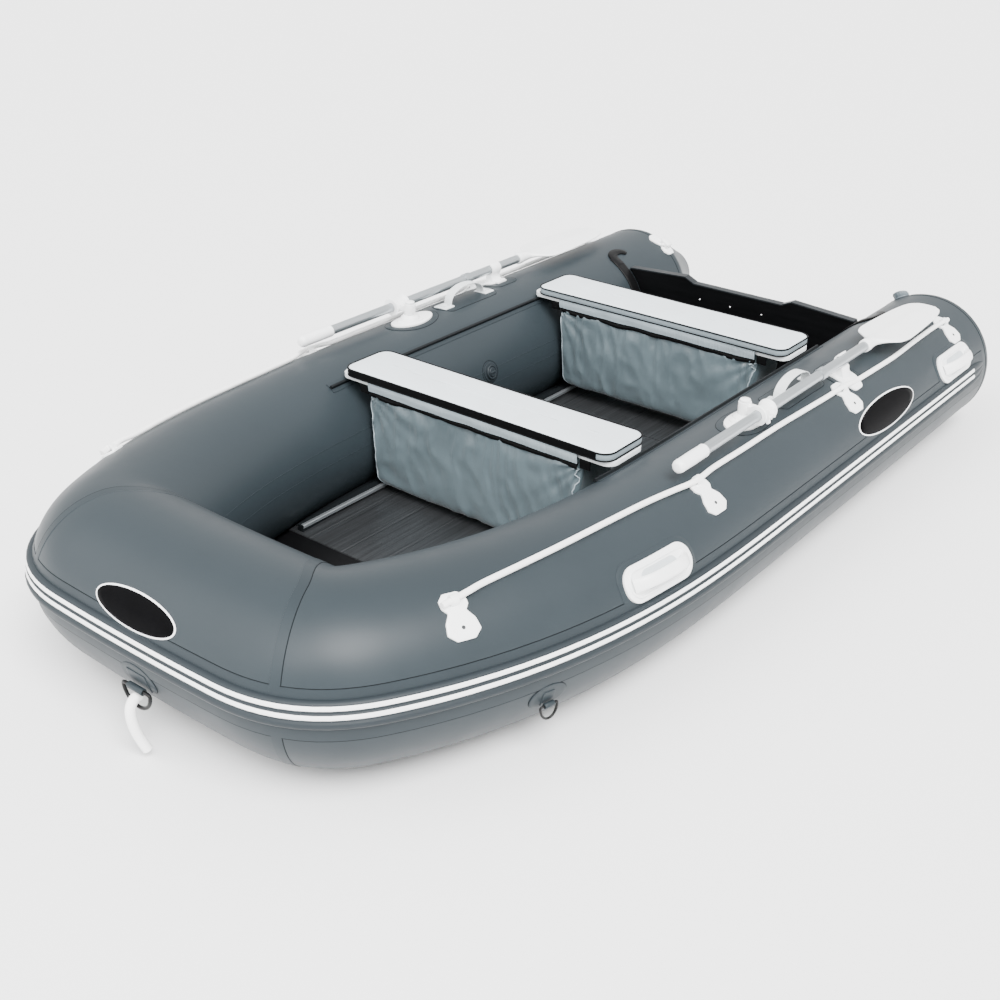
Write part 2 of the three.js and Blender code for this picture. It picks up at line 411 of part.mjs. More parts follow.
// strap loops on the tube tops
{
  const x = 585, y0 = 613, y1 = 773, w = 15, t = 1.6, n = 14, pts = [];
  for (let k = 0; k <= n; k++) { const a = Math.PI * k / n; pts.push([(y0 + y1) / 2 - (y1 - y0) / 2 * Math.cos(a), 425.5 + 47 * Math.pow(Math.sin(a), 0.8)]); }
  pts.unshift([y0 - 30, 424.6]); pts.push([y1 + 30, 424.6]);
  const rings = pts.map(([y, z], i) => {
    const p = pts[Math.max(i - 1, 0)], q = pts[Math.min(i + 1, pts.length - 1)], d = new THREE.Vector2(q[0] - p[0], q[1] - p[1]).normalize();
    return [[-w, -t], [w, -t], [w, t], [-w, t]].map(([a, b]) => new THREE.Vector3(x + a, y - d.y * b, z + d.x * b));
  });
  both('strap_handle', loft(rings, false, [[0, 1, 2], [0, 2, 3]]), M.white);
}

// ---- cords ----
const cord = (ctrl, d, step, sides = 8) => {
  const c = new THREE.CatmullRomCurve3(ctrl, false, 'centripetal'), n = Math.min(78, Math.max(4, Math.round(c.getLength() / step)));
  const P = c.getSpacedPoints(n);
  let up = new THREE.Vector3(0, 0, 1);
  const rings = P.map((p, i) => {
    const t = new THREE.Vector3().subVectors(P[Math.min(i + 1, n)], P[Math.max(i - 1, 0)]).normalize();
    if (Math.abs(t.dot(up)) > 0.95) up = new THREE.Vector3(1, 0, 0);
    const a = new THREE.Vector3().crossVectors(up, t).normalize(), b = new THREE.Vector3().crossVectors(t, a);
    up = b.clone();
    return [...Array(sides).keys()].map((j) => { const q = j / sides * 2 * Math.PI; return p.clone().addScaledVector(a, d / 2 * Math.cos(q)).addScaledVector(b, d / 2 * Math.sin(q)); });
  });
  return loft(rings);
};
{
  const at = (y, phi, r) => surf(sAtY(y), phi, r);
  const run = [[-690, 56, 13.5], [-664, 58, 13.5], [-630, 60.5, 12.5], [-600, 63, 8.6], [-500, 67, 8.2], [-380, 70, 8.2], [-217, 72, 8.2], [-100, 71.5, 8.2], [0, 69, 8.4], [40, 67, 12.8], [76, 66.5, 13.5], [112, 67, 12.8], [150, 68, 8.6], [300, 67.5, 8.2], [468, 67, 8.2], [640, 65.5, 8.2], [750, 64.5, 8.4], [790, 64, 12.8], [826, 63.5, 13.5], [862, 63, 12.8], [900, 62.5, 8.6], [1030, 61.5, 8.2], [1156, 61, 8.2], [1300, 62, 8.2], [1450, 62.5, 8.6], [1490, 62, 12.8], [1524, 61.5, 13.5], [1548, 61, 13.5]];
  both('grab_line', cord(run.map((v) => at(...v)), ROPE_D, 42), M.rope);
  const p = RINGS.bow.p;
  add('painter_rope', cord([[0, 5, -20.8], [0, -7, -22.5], [1, -19, -31.5], [4, -26, -50], [8, -26, -76], [13, -22, -102], [19, -17, -123], [27, -11, -144]].map(([x, y, z]) => new THREE.Vector3(p.x + x, p.y + y, p.z + z)), PAINTER_D, 18), M.rope);
}

group.position.set(0, -Y_MID, 0);
group.updateMatrixWorld(true);
export default group;
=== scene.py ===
# Inflatable dinghy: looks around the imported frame. Hull coordinates as in the part: s along the
# centreline of the port tube from the bow middle (negative on the starboard half), phi round the
# tube in degrees (0 outboard, 90 up, 180 inboard), r millimetres above the skin.
import bpy
import bmesh
import math
import numpy as np
from mathutils import Matrix, Vector


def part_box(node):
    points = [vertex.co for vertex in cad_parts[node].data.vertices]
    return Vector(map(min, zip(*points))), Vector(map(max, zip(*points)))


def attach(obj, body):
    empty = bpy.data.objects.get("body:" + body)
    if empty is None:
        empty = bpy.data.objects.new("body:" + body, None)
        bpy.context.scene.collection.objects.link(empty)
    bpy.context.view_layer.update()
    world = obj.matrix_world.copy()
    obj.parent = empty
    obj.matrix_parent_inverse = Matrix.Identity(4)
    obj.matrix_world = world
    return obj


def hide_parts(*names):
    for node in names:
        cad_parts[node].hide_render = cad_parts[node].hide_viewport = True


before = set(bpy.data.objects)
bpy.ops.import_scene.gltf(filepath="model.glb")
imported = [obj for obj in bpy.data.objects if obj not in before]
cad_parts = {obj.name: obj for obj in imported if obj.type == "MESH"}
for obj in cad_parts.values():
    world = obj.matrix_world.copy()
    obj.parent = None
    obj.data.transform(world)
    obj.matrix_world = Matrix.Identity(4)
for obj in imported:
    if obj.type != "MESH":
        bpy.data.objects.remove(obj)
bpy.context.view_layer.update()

# ------------------------------------------------------------------ camera
AZ, EL, ROLL = math.radians(38.331), math.radians(27.905), math.radians(0.515)
back = Vector((math.sin(AZ) * math.cos(EL), -math.cos(AZ) * math.cos(EL), math.sin(EL)))
cx = Vector((0, 0, 1)).cross(back).normalized()
cy = back.cross(cx)
x2 = math.cos(ROLL) * cx + math.sin(ROLL) * cy
y2 = -math.sin(ROLL) * cx + math.cos(ROLL) * cy
cam_data = bpy.data.cameras.new("camera")
cam = bpy.data.objects.new("camera", cam_data)
bpy.context.scene.collection.objects.link(cam)
m = Matrix((x2, y2, back)).transposed().to_4x4()
m.translation = Vector((2.0564, -2.8403, 1.8638))
cam.matrix_world = m
cam_data.sensor_width = 36
cam_data.lens = 48.118
cam_data.clip_start = 0.05
cam_data.clip_end = 100
bpy.context.scene.camera = cam

# ------------------------------------------------------------------ hull maths (mm, hull Y)
Y_MID = 387.0
R, ZC, BOW_Y = 211.0, 211.0, -888.0
RISE, RISE_Y, RISE_P = 29.5, -31.7, 1.778
S1, S2, S3 = 235.2, 199.7, 1151.0
K0, K1 = 0.0001486, 0.0008313
CONE_Y, CONE_L, CONE_END, CONE_P, CONE_IN, CONE_UP = 1701.0, 186.0, 0.416, 1.175, 31.0, 12.0
KC = (math.pi / 2 - K0 * S1 - (K0 + K1) * S2 / 4 - K1 * S3 / 2) / (S2 / 2)
S_M = S1 + S2 / 2


def curv(s):
    return np.interp(s, [0, S1, S_M, S1 + S2, S1 + S2 + S3, 5000], [K0, K0, KC, K1, 0, 0])


_g = np.arange(0, 3201, dtype=float)
_t = np.concatenate([[0], np.cumsum(curv(_g[:-1] + 0.5))])
_tm = (_t[1:] + _t[:-1]) / 2
_x = np.concatenate([[0], np.cumsum(np.cos(_tm))])
_y = BOW_Y + np.concatenate([[0], np.cumsum(np.sin(_tm))])


def line(s):
    a = np.abs(s)
    sg = np.where(np.asarray(s) < 0, -1.0, 1.0)
    return sg * np.interp(a, _g, _x), np.interp(a, _g, _y), np.interp(a, _g, _t)


def s_at(y):
    return float(np.interp(y, _y, _g))


def sheer(y):
    return RISE * np.clip((RISE_Y - y) / (RISE_Y - BOW_Y), 0, 1) ** RISE_P


def cone(y):
    u = np.clip((y - CONE_Y) / CONE_L, 0, 1)
    return CONE_END + (1 - CONE_END) * (1 - u ** CONE_P), CONE_IN * u * u, CONE_UP * u * u


def surf(s, phi, r=0.0):
    s, phi, r = np.broadcast_arrays(np.asarray(s, float), np.asarray(phi, float), np.asarray(r, float))
    x, y, t = line(s)
    g = np.where(s < 0, -1.0, 1.0)
    k, dx, dz = cone(y)
    ph = np.radians(phi)
    rr = R * k + r
    return np.stack([x - g * dx + g * rr * np.cos(ph) * np.sin(t), y - rr * np.cos(ph) * np.cos(t),
                     ZC + sheer(y) + dz + rr * np.sin(ph)], -1)


MX, MY, MT = [float(v) for v in line(S_M)]
S_TIP = s_at(CONE_Y + CONE_L)


def across(s, d):
    x, y, t = line(s)
    return (x + d * np.sin(t) - MX) * math.cos(MT) + (y - d * np.cos(t) - MY) * math.sin(MT)


def mitre_bow(d):
    s = np.arange(0, S_M + 60, 0.5)
    f = across(s, d)
    i = np.argmax(f >= 0) if (f >= 0).any() else int(np.argmax(f))
    return float(s[i])


def mitre_side(d):
    s = np.arange(900, S_M - 60, -0.5)
    f = across(s, d)
    i = np.argmax(f <= 0) if (f <= 0).any() else int(np.argmin(f))
    return float(s[i])


# ------------------------------------------------------------------ mesh helpers
def to_m(v):
    v = np.asarray(v, float).reshape(-1, 3).copy()
    v[:, 1] -= Y_MID
    return v / 1000.0


def volume(V, F):
    t = 0.0
    for f in F:
        a = V[f[0]]
        for i in range(1, len(f) - 1):
            t += float(np.dot(a, np.cross(V[f[i]], V[f[i + 1]])))
    return t


def outward(V, F):
    V = np.asarray(V, float)
    c = V.mean(0)
    return [tuple(reversed(f)) for f in F] if volume(V - c, F) < 0 else [tuple(f) for f in F]


def join(*parts):
    V, F, n = [], [], 0
    for v, f in parts:
        v = np.asarray(v, float).reshape(-1, 3)
        V.append(v)
        F += [tuple(i + n for i in q) for q in f]
        n += len(v)
    return np.concatenate(V), F


def mirror(p):
    V = np.array(p[0], float)
    V[:, 0] *= -1
    return V, [tuple(reversed(f)) for f in p[1]]


def loft(rings, closed=False, caps=True):
    rings = [np.asarray(r, float) for r in rings]
    m, n = len(rings), len(rings[0])
    V = np.concatenate(rings)
    F = []
    for i in range(m if closed else m - 1):
        a, b = i * n, ((i + 1) % m) * n
        for j in range(n):
            q = (j + 1) % n
            F.append((a + j, a + q, b + q, b + j))
    if not closed and caps:
        for o, rev in ((0, True), ((m - 1) * n, False)):
            c = rings[0 if rev else -1].mean(0)
            V = np.concatenate([V, [c]])
            k = len(V) - 1
            for j in range(n):
                q = (j + 1) % n
                F.append((k, o + q, o + j) if rev else (k, o + j, o + q))
    return V, outward(V, F)


def round_rect(w, d, r, seg=8):
    r = max(min(r, w / 2 - 0.01, d / 2 - 0.01), 0.05)
    out = []
    for px, py, a0 in ((w / 2 - r, d / 2 - r, 0), (-w / 2 + r, d / 2 - r, 90), (-w / 2 + r, -d / 2 + r, 180), (w / 2 - r, -d / 2 + r, 270)):
        for k in range(seg + 1):
            a = math.radians(a0 + 90 * k / seg)
            out.append((px + r * math.cos(a), py + r * math.sin(a)))
    return np.array(out)


def ellipse(a, b, n=64):
    q = np.arange(n) * 2 * math.pi / n
    return np.stack([a * np.cos(q), b * np.sin(q)], -1)


def densify(poly, step):
    out = []
    poly = np.asarray(poly, float)
    for i in range(len(poly)):
        p, q = poly[i], poly[(i + 1) % len(poly)]
        n = max(1, int(math.ceil(np.linalg.norm(q - p) / step)))
        for k in range(n):
            out.append(p + (q - p) * k / n)
    return np.array(out)


def soften(poly, radius, seg=4):
    # rounds each corner of an outline
    poly = np.asarray(poly, float)
    out, n = [], len(poly)
    for i in range(n):
        p, a, b = poly[i], poly[i - 1], poly[(i + 1) % n]
        u, v = (a - p), (b - p)
        lu, lv = np.linalg.norm(u), np.linalg.norm(v)
        d = min(radius, lu * 0.45, lv * 0.45)
        p0, p1 = p + u / lu * d, p + v / lv * d
        for k in range(seg + 1):
            t = k / seg
            out.append((1 - t) ** 2 * p0 + 2 * t * (1 - t) * p + t * t * p1)
    return np.array(out)


def plate(outline, w0, w1, bevel=1.2, step=12, crown=0.0):
    # closed plate in (u, v, w) from a star-shaped outline, edges rounded, ringed so that it bends with the skin
    o = densify(outline, step)
    c = o.mean(0)
    rad = np.linalg.norm(o - c, axis=1, keepdims=True)
    inset = lambda d: c + (o - c) * np.maximum(rad - d, rad * 0.02) / rad
    ring = lambda xy, w: np.concatenate([xy, np.full((len(xy), 1), w)], 1)
    b = min(bevel, (w1 - w0) * 0.6)
    rings = [ring(c + (o - c) * k, w0) for k in (0.05, 0.4, 0.75)] + [ring(o, w0), ring(o, w1 - b), ring(inset(b * 0.3), w1 - b * 0.3), ring(inset(b), w1)]
    for k in (0.85, 0.65, 0.45, 0.25, 0.05):
        rings.append(ring(c + (inset(b) - c) * k, w1 + crown * (1 - k * k)))
    return loft(rings)


def wrap(p, s0, phi0):
    # (u along the hull aft, v round the skin upward, w off the skin) onto the port tube
    V, F = np.asarray(p[0], float), p[1]
    f = 1 / (1 + float(curv(s0)) * R * math.cos(math.radians(phi0)))
    W = surf(s0 + V[:, 0] * f, phi0 + V[:, 1] / R * 180 / math.pi, V[:, 2])
    return W, outward(W, F)


def sweep_skin(profile, phi0, stations, fade=0):
    # closed profile of (distance round the skin, height) along stations; the ends sink over `fade` stations
    prof = densify(profile, 3.5)
    rings = []
    n = len(stations)
    for i, s in enumerate(stations):
        k = 1.0
        if fade:
            e = min(i, n - 1 - i) / fade
            k = math.sqrt(max(0.0, 1 - (1 - min(e, 1)) ** 2)) if e < 1 else 1.0
            k = max(k, 0.06)
        g = prof * np.array([1, 1]) if k == 1 else np.stack([prof[:, 0] * (0.55 + 0.45 * k) + (-8 * 0.45 * (1 - k)), np.where(prof[:, 1] > 0.5, 0.5 + (prof[:, 1] - 0.5) * k, prof[:, 1])], -1)
        rings.append(surf(s, phi0 + g[:, 0] / R * 180 / math.pi, g[:, 1]))
    return loft(rings)


def path_tube(P, d, sides=10, closed=False, flat=1.0, up=(0, 0, 1)):
    # round (or flattened) bead along a 3D path
    P = np.asarray(P, float)
    n = len(P)
    up = Vector(up)
    rings = []
    for i in range(n):
        a, b = (P[(i - 1) % n], P[(i + 1) % n]) if closed else (P[max(i - 1, 0)], P[min(i + 1, n - 1)])
        t = Vector(b - a).normalized()
        if abs(t.dot(up)) > 0.95:
            up = Vector((1, 0, 0))
        s = up.cross(t).normalized()
        w = t.cross(s)
        if not closed:
            up = w.copy()
        q = np.arange(sides) * 2 * math.pi / sides
        rings.append(P[i] + d / 2 * (np.outer(np.cos(q), s) + flat * np.outer(np.sin(q), w)))
    return loft(rings, closed=closed)


def skin_line(s, phi, width, height, base=0.0, closed=False):
    # thin raised bead along a path on the skin
    s, phi = np.asarray(s, float), np.asarray(phi, float)
    P, N = surf(s, phi, base), surf(s, phi, base + 1.0) - surf(s, phi, base)
    n = len(P)
    T = np.roll(P, -1, 0) - np.roll(P, 1, 0)
    if not closed:
        T[0], T[-1] = P[1] - P[0], P[-1] - P[-2]
    T /= np.linalg.norm(T, axis=1, keepdims=True)
    B = np.cross(N, T)
    B /= np.linalg.norm(B, axis=1, keepdims=True)
    h = width / 2
    sec = [(-h, -0.4), (-h * 0.95, height * 0.4), (-h * 0.55, height * 0.92), (0, height), (h * 0.55, height * 0.92), (h * 0.95, height * 0.4), (h, -0.4)]
    rings = [P[i] + np.array([B[i] * a + N[i] * b for a, b in sec]) for i in range(n)]
    return loft(rings, closed=closed)


def patch_line(outline, s0, phi0, width=1.5, height=0.9, base=0.0, step=5):
    o = densify(outline, step)
    f = 1 / (1 + float(curv(s0)) * R * math.cos(math.radians(phi0)))
    return skin_line(s0 + o[:, 0] * f, phi0 + o[:, 1] / R * 180 / math.pi, width, height, base, closed=True)


def lathe(profile, seg=40, at=(0, 0, 0), axis="z"):
    prof = np.asarray(profile, float)
    q = np.arange(seg) * 2 * math.pi / seg
    rings = []
    for r, z in prof:
        r = max(r, 0.02)
        c = np.stack([r * np.cos(q), r * np.sin(q), np.full(seg, z)], -1)
        if axis == "y":
            c = np.stack([c[:, 0], c[:, 2], c[:, 1]], -1)
        if axis == "x":
            c = np.stack([c[:, 2], c[:, 0], c[:, 1]], -1)
        rings.append(c + np.array(at))
    return loft(rings)


def rbox(x0, x1, y0, y1, z0, z1, b=1.5, seg=3):
    bm = bmesh.new()
    bmesh.ops.create_cube(bm, size=1)
    for v in bm.verts:
        v.co = Vector(((x0 + x1) / 2 + v.co.x * (x1 - x0), (y0 + y1) / 2 + v.co.y * (y1 - y0), (z0 + z1) / 2 + v.co.z * (z1 - z0)))
    bmesh.ops.bevel(bm, geom=bm.edges[:], offset=b, segments=seg, profile=0.5, affect="EDGES")
    V = np.array([v.co[:] for v in bm.verts])
    F = [tuple(v.index for v in f.verts) for f in bm.faces]
    bm.free()
    return V, F


def smooth_pchip(xk, yk, x):
    # monotone cubic through the knots
    xk, yk = np.asarray(xk, float), np.asarray(yk, float)
    h, d = np.diff(xk), np.diff(yk) / np.diff(xk)
    mk = np.zeros(len(xk))
    for i in range(1, len(xk) - 1):
        if d[i - 1] * d[i] > 0:
            w1, w2 = 2 * h[i] + h[i - 1], h[i] + 2 * h[i - 1]
            mk[i] = (w1 + w2) / (w1 / d[i - 1] + w2 / d[i])
    mk[0], mk[-1] = d[0], d[-1]
    x = np.asarray(x, float)
    i = np.clip(np.searchsorted(xk, x) - 1, 0, len(h) - 1)
    t = (x - xk[i]) / h[i]
    return yk[i] * (1 + 2 * t) * (1 - t) ** 2 + h[i] * mk[i] * t * (1 - t) ** 2 + yk[i + 1] * t * t * (3 - 2 * t) + h[i] * mk[i + 1] * t * t * (t - 1)


def vnoise(x, y, seed=0):
    # smooth value noise, repeatable
    x, y = np.asarray(x, float), np.asarray(y, float)
    xi, yi = np.floor(x).astype(int), np.floor(y).astype(int)
    xf, yf = x - xi, y - yi
    u, v = xf * xf * (3 - 2 * xf), yf * yf * (3 - 2 * yf)

    def h(a, b):
        n = (a * 374761393 + b * 668265263 + seed * 1442695041) & 0x7FFFFFFF
        n = ((n ^ (n >> 13)) * 1274126177) & 0x7FFFFFFF
        return ((n ^ (n >> 16)) & 0xFFFF) / 65535.0 * 2 - 1
    return (h(xi, yi) * (1 - u) + h(xi + 1, yi) * u) * (1 - v) + (h(xi, yi + 1) * (1 - u) + h(xi + 1, yi + 1) * u) * v


# ------------------------------------------------------------------ materials
def lin(c):
    return tuple((v / 12.92 if v <= 0.04045 else ((v + 0.055) / 1.055) ** 2.4) for v in [k / 255 for k in c]) + (1.0,)


def mat(name, rgb, rough=0.5, metal=0.0, var=0.05, vscale=5.0, fine=350.0, bump=0.25, dist=0.0004, rvar=0.06,
        spec=0.5, coat=0.0, coat_rough=0.2, sheen=0.0, weave=0.0, wscale=900.0, stretch=None, dirt=0.0, edge=0.0):
    M = bpy.data.materials.new(name)
    M.use_nodes = True
    nt = M.node_tree
    N, L = nt.nodes, nt.links
    N.clear()
    out = N.new("ShaderNodeOutputMaterial")
    bs = N.new("ShaderNodeBsdfPrincipled")
    L.new(bs.outputs[0], out.inputs[0])
    tc = N.new("ShaderNodeTexCoord")
    src = tc.outputs["Object"]
    if stretch:
        mp = N.new("ShaderNodeMapping")
        mp.inputs["Scale"].default_value = stretch
        L.new(src, mp.inputs[0])
        srcs = mp.outputs[0]
    else:
        srcs = src
    n1 = N.new("ShaderNodeTexNoise")
    n1.inputs["Scale"].default_value = vscale
    n1.inputs["Detail"].default_value = 5
    L.new(srcs, n1.inputs["Vector"])
    ramp = N.new("ShaderNodeValToRGB")
    ramp.color_ramp.elements[0].position = 0.3
    ramp.color_ramp.elements[1].position = 0.7
    c = lin(rgb)
    ramp.color_ramp.elements[0].color = tuple(max(0, v * (1 - var)) for v in c[:3]) + (1,)
    ramp.color_ramp.elements[1].color = tuple(min(1, v * (1 + var)) for v in c[:3]) + (1,)
    L.new(n1.outputs["Fac"], ramp.inputs[0])
    col = ramp.outputs[0]
    if dirt > 0:
        nd = N.new("ShaderNodeTexNoise")
        nd.inputs["Scale"].default_value = 38
        nd.inputs["Detail"].default_value = 8
        L.new(src, nd.inputs["Vector"])
        mr = N.new("ShaderNodeMapRange")
        mr.inputs["From Min"].default_value = 0.52
        mr.inputs["From Max"].default_value = 0.78
        mr.inputs["To Min"].default_value = 0
        mr.inputs["To Max"].default_value = dirt
        L.new(nd.outputs["Fac"], mr.inputs[0])
        mx = N.new("ShaderNodeMix")
        mx.data_type = "RGBA"
        L.new(mr.outputs[0], mx.inputs[0])
        L.new(col, mx.inputs[6])
        mx.inputs[7].default_value = tuple(v * 0.72 for v in c[:3]) + (1,)
        col = mx.outputs[2]
    L.new(col, bs.inputs["Base Color"])
    n2 = N.new("ShaderNodeTexNoise")
    n2.inputs["Scale"].default_value = fine
    n2.inputs["Detail"].default_value = 3
    L.new(srcs, n2.inputs["Vector"])
    height = n2.outputs["Fac"]
    if weave > 0:
        wa = []
        for ax in ((1, 0, 0), (0, 1, 1)):
            mp = N.new("ShaderNodeMapping")
            mp.inputs["Scale"].default_value = tuple(wscale * a for a in ax)
            L.new(src, mp.inputs[0])
            sep = N.new("ShaderNodeSeparateXYZ")
            L.new(mp.outputs[0], sep.inputs[0])
            s1 = N.new("ShaderNodeMath")
            s1.operation = "ADD"
            L.new(sep.outputs[0], s1.inputs[0])
            L.new(sep.outputs[1] if ax[1] else sep.outputs[0], s1.inputs[1])
            if ax[1]:
                s3 = N.new("ShaderNodeMath")
                s3.operation = "ADD"
                L.new(s1.outputs[0], s3.inputs[0])
                L.new(sep.outputs[2], s3.inputs[1])
                s1 = s3
            sn = N.new("ShaderNodeMath")
            sn.operation = "SINE"
            L.new(s1.outputs[0], sn.inputs[0])
            wa.append(sn)
        pr = N.new("ShaderNodeMath")
        pr.operation = "MULTIPLY"
        L.new(wa[0].outputs[0], pr.inputs[0])
        L.new(wa[1].outputs[0], pr.inputs[1])
        ad = N.new("ShaderNodeMath")
        ad.operation = "MULTIPLY_ADD"
        L.new(pr.outputs[0], ad.inputs[0])
        ad.inputs[1].default_value = weave
        L.new(height, ad.inputs[2])
        height = ad.outputs[0]
    bp = N.new("ShaderNodeBump")
    bp.inputs["Strength"].default_value = bump
    bp.inputs["Distance"].default_value = dist
    L.new(height, bp.inputs["Height"])
    L.new(bp.outputs[0], bs.inputs["Normal"])
    n3 = N.new("ShaderNodeTexNoise")
    n3.inputs["Scale"].default_value = vscale * 4
    n3.inputs["Detail"].default_value = 4
    L.new(srcs, n3.inputs["Vector"])
    r3 = N.new("ShaderNodeMapRange")
    r3.inputs["To Min"].default_value = max(0.03, rough - rvar)
    r3.inputs["To Max"].default_value = min(1, rough + rvar)
    L.new(n3.outputs["Fac"], r3.inputs[0])
    L.new(r3.outputs[0], bs.inputs["Roughness"])
    bs.inputs["Metallic"].default_value = metal
    bs.inputs["Specular IOR Level"].default_value = spec
    bs.inputs["Coat Weight"].default_value = coat
    bs.inputs["Coat Roughness"].default_value = coat_rough
    bs.inputs["Sheen Weight"].default_value = sheen
    bs.inputs["Sheen Roughness"].default_value = 0.4
    return M


TUBE = (38, 45, 49)
M = {
    "tube": mat("pvc_grey", TUBE, rough=0.42, var=0.05, vscale=3.0, fine=420, bump=0.16, dist=0.0003, spec=0.24, dirt=0.10),
    "seam": mat("pvc_seam", (36, 43, 47), rough=0.45, var=0.05, vscale=8, fine=420, bump=0.2, dist=0.0003, spec=0.22),
    "seamline": mat("seam_shadow", (17, 20, 22), spec=0.1, rough=0.55, var=0.06, vscale=30, bump=0.2),
    "strake": mat("strake_rubber", (33, 39, 43), spec=0.24, rough=0.5, var=0.05, vscale=7, fine=260, bump=0.2, dirt=0.15),
    "stripe": mat("stripe_white", (250, 251, 251), rough=0.42, var=0.012, vscale=14, fine=300, bump=0.15, dirt=0.05),
    "white": mat("plastic_white", (250, 251, 251), rough=0.32, var=0.012, vscale=12, fine=420, bump=0.14, dist=0.0003, coat=0.1, coat_rough=0.3, dirt=0.05),
    "black": mat("pvc_black", (9, 9, 10), spec=0.12, rough=0.42, var=0.15, vscale=12, fine=300, bump=0.2),
    "piping": mat("piping_black", (8, 8, 9), spec=0.1, rough=0.5, var=0.2, vscale=30, fine=900, bump=0.5, dist=0.0003),
    "zip": mat("zip_tape", (7, 7, 8), spec=0.1, rough=0.6, var=0.2, vscale=60, fine=1200, bump=0.6, dist=0.0005),
    "steel": mat("ring_black", (12, 12, 13), rough=0.3, metal=0.2, var=0.15, vscale=20, bump=0.1, spec=0.3),
    "cushion": mat("cushion_fabric", (208, 216, 221), rough=0.62, var=0.03, vscale=9, fine=500, bump=0.35, dist=0.0005, weave=0.5, wscale=1400, sheen=0.15, dirt=0.08),
    # darker copy of the cushion fabric for the side faces: painted shade, the sides are the same pale fabric as the top
    "cushside": mat("cushion_side", (128, 140, 146), rough=0.62, var=0.06, vscale=12, fine=500, bump=0.35, dist=0.0005, weave=0.5, wscale=1400, sheen=0.1),
    "bag": mat("bag_fabric", (80, 93, 98), rough=0.36, var=0.12, vscale=6, fine=300, bump=0.35, dist=0.0006, weave=0.4, wscale=1600, sheen=0.2, spec=0.7, dirt=0.12),
    "bagtrim": mat("bag_trim", (150, 162, 168), rough=0.5, var=0.06, vscale=20, fine=600, bump=0.3, weave=0.4),
    "deck": mat("deck_aluminium", (76, 78, 80), rough=0.32, metal=0.8, var=0.28, vscale=3, fine=30, bump=0.10, dist=0.0002, rvar=0.10, stretch=(60, 1.2, 60)),
    "alu": mat("aluminium_bar", (172, 177, 180), rough=0.32, metal=0.85, var=0.08, vscale=4, fine=50, bump=0.10, dist=0.0001, rvar=0.08, stretch=(50, 1.5, 50)),
    "ply": mat("painted_ply", (8, 8, 9), spec=0.15, rough=0.36, var=0.25, vscale=3, fine=60, bump=0.25, dist=0.0003, stretch=(2, 30, 30), ),
    "board": mat("board_white", (222, 226, 228), rough=0.45, var=0.04, vscale=4, fine=80, bump=0.2, dist=0.0003, stretch=(2, 20, 20)),
    "skin": mat("bottom_pvc", (26, 31, 34), spec=0.2, rough=0.55, var=0.06, vscale=5, fine=350, bump=0.25),
    "edge": mat("edge_grey", (92, 102, 108), rough=0.4, var=0.05, vscale=10, fine=300, bump=0.15, coat=0.1),
    "rope": mat("rope_white", (250, 250, 249), rough=0.75, var=0.03, vscale=40, fine=700, bump=0.5, dist=0.0006, sheen=0.1, dirt=0.06),
    "web": mat("webbing", (216, 220, 221), rough=0.7, var=0.05, vscale=40, fine=900, bump=0.5, dist=0.0005, weave=0.8, wscale=2400),
    "badge": mat("badge_black", (3, 3, 4), spec=0.03, rough=0.32, var=0.3, vscale=20, fine=300, bump=0.1),
    # near-black rubber for the seat rail; on the stringers and the deck-gap strips the same colour is painted shade
    "rail": mat("rail_rubber", (17, 20, 22), spec=0.14, rough=0.5, var=0.08, vscale=12, fine=300, bump=0.2),
    "cap": mat("transom_edging", (30, 33, 36), spec=0.2, rough=0.42, var=0.08, vscale=10, fine=300, bump=0.15),
    # the cup under the grip bar is a grey copy of the white plastic: painted shade beneath the bar
    "cup": mat("handle_cup", (196, 202, 205), rough=0.42, var=0.04, vscale=12, fine=300, bump=0.15),
    # dark colour of the screw recesses: painted shade inside the recess
    "hole": mat("recess_dark", (38, 40, 42), rough=0.6, var=0.15, vscale=50, bump=0.2),
}


# ------------------------------------------------------------------ pieces
def piece(name, p, material, body="hull", replaces=(), angle=38):
    V, F = p
    me = bpy.data.meshes.new(name)
    me.from_pydata([tuple(v) for v in to_m(V)], [], [tuple(int(i) for i in f) for f in F])
    me.validate()
    me.materials.append(M[material])
    me.shade_smooth()
    me.set_sharp_from_angle(angle=math.radians(angle))
    ob = bpy.data.objects.new(name, me)
    bpy.context.scene.collection.objects.link(ob)
    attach(ob, body)
    if replaces:
        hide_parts(*replaces)
    return ob


def pair(name, p, material, replaces=None, bodies=("hull", "hull"), angle=38):
    a = piece(name + "_p", p, material, bodies[0], [r + "_port" for r in replaces or ()], angle)
    b = piece(name + "_s", mirror(p), material, bodies[1], [r + "_starboard" for r in replaces or ()], angle)
    return a, b


OARS = ("oar_port", "oar_starboard")

# ---- cords first -------------------------------------------------
def cord_curve(name, P, d, material):
    cu = bpy.data.curves.new(name, "CURVE")
    cu.dimensions = "3D"
    sp = cu.splines.new("POLY")
    P = to_m(P)
    sp.points.add(len(P) - 1)
    for i, q in enumerate(P):
        sp.points[i].co = (float(q[0]), float(q[1]), float(q[2]), 1)
    cu.bevel_depth = d / 2000.0
    cu.bevel_resolution = 5
    cu.use_fill_caps = True
    cu.materials.append(M[material])
    ob = bpy.data.objects.new(name, cu)
    bpy.context.scene.collection.objects.link(ob)
    return ob


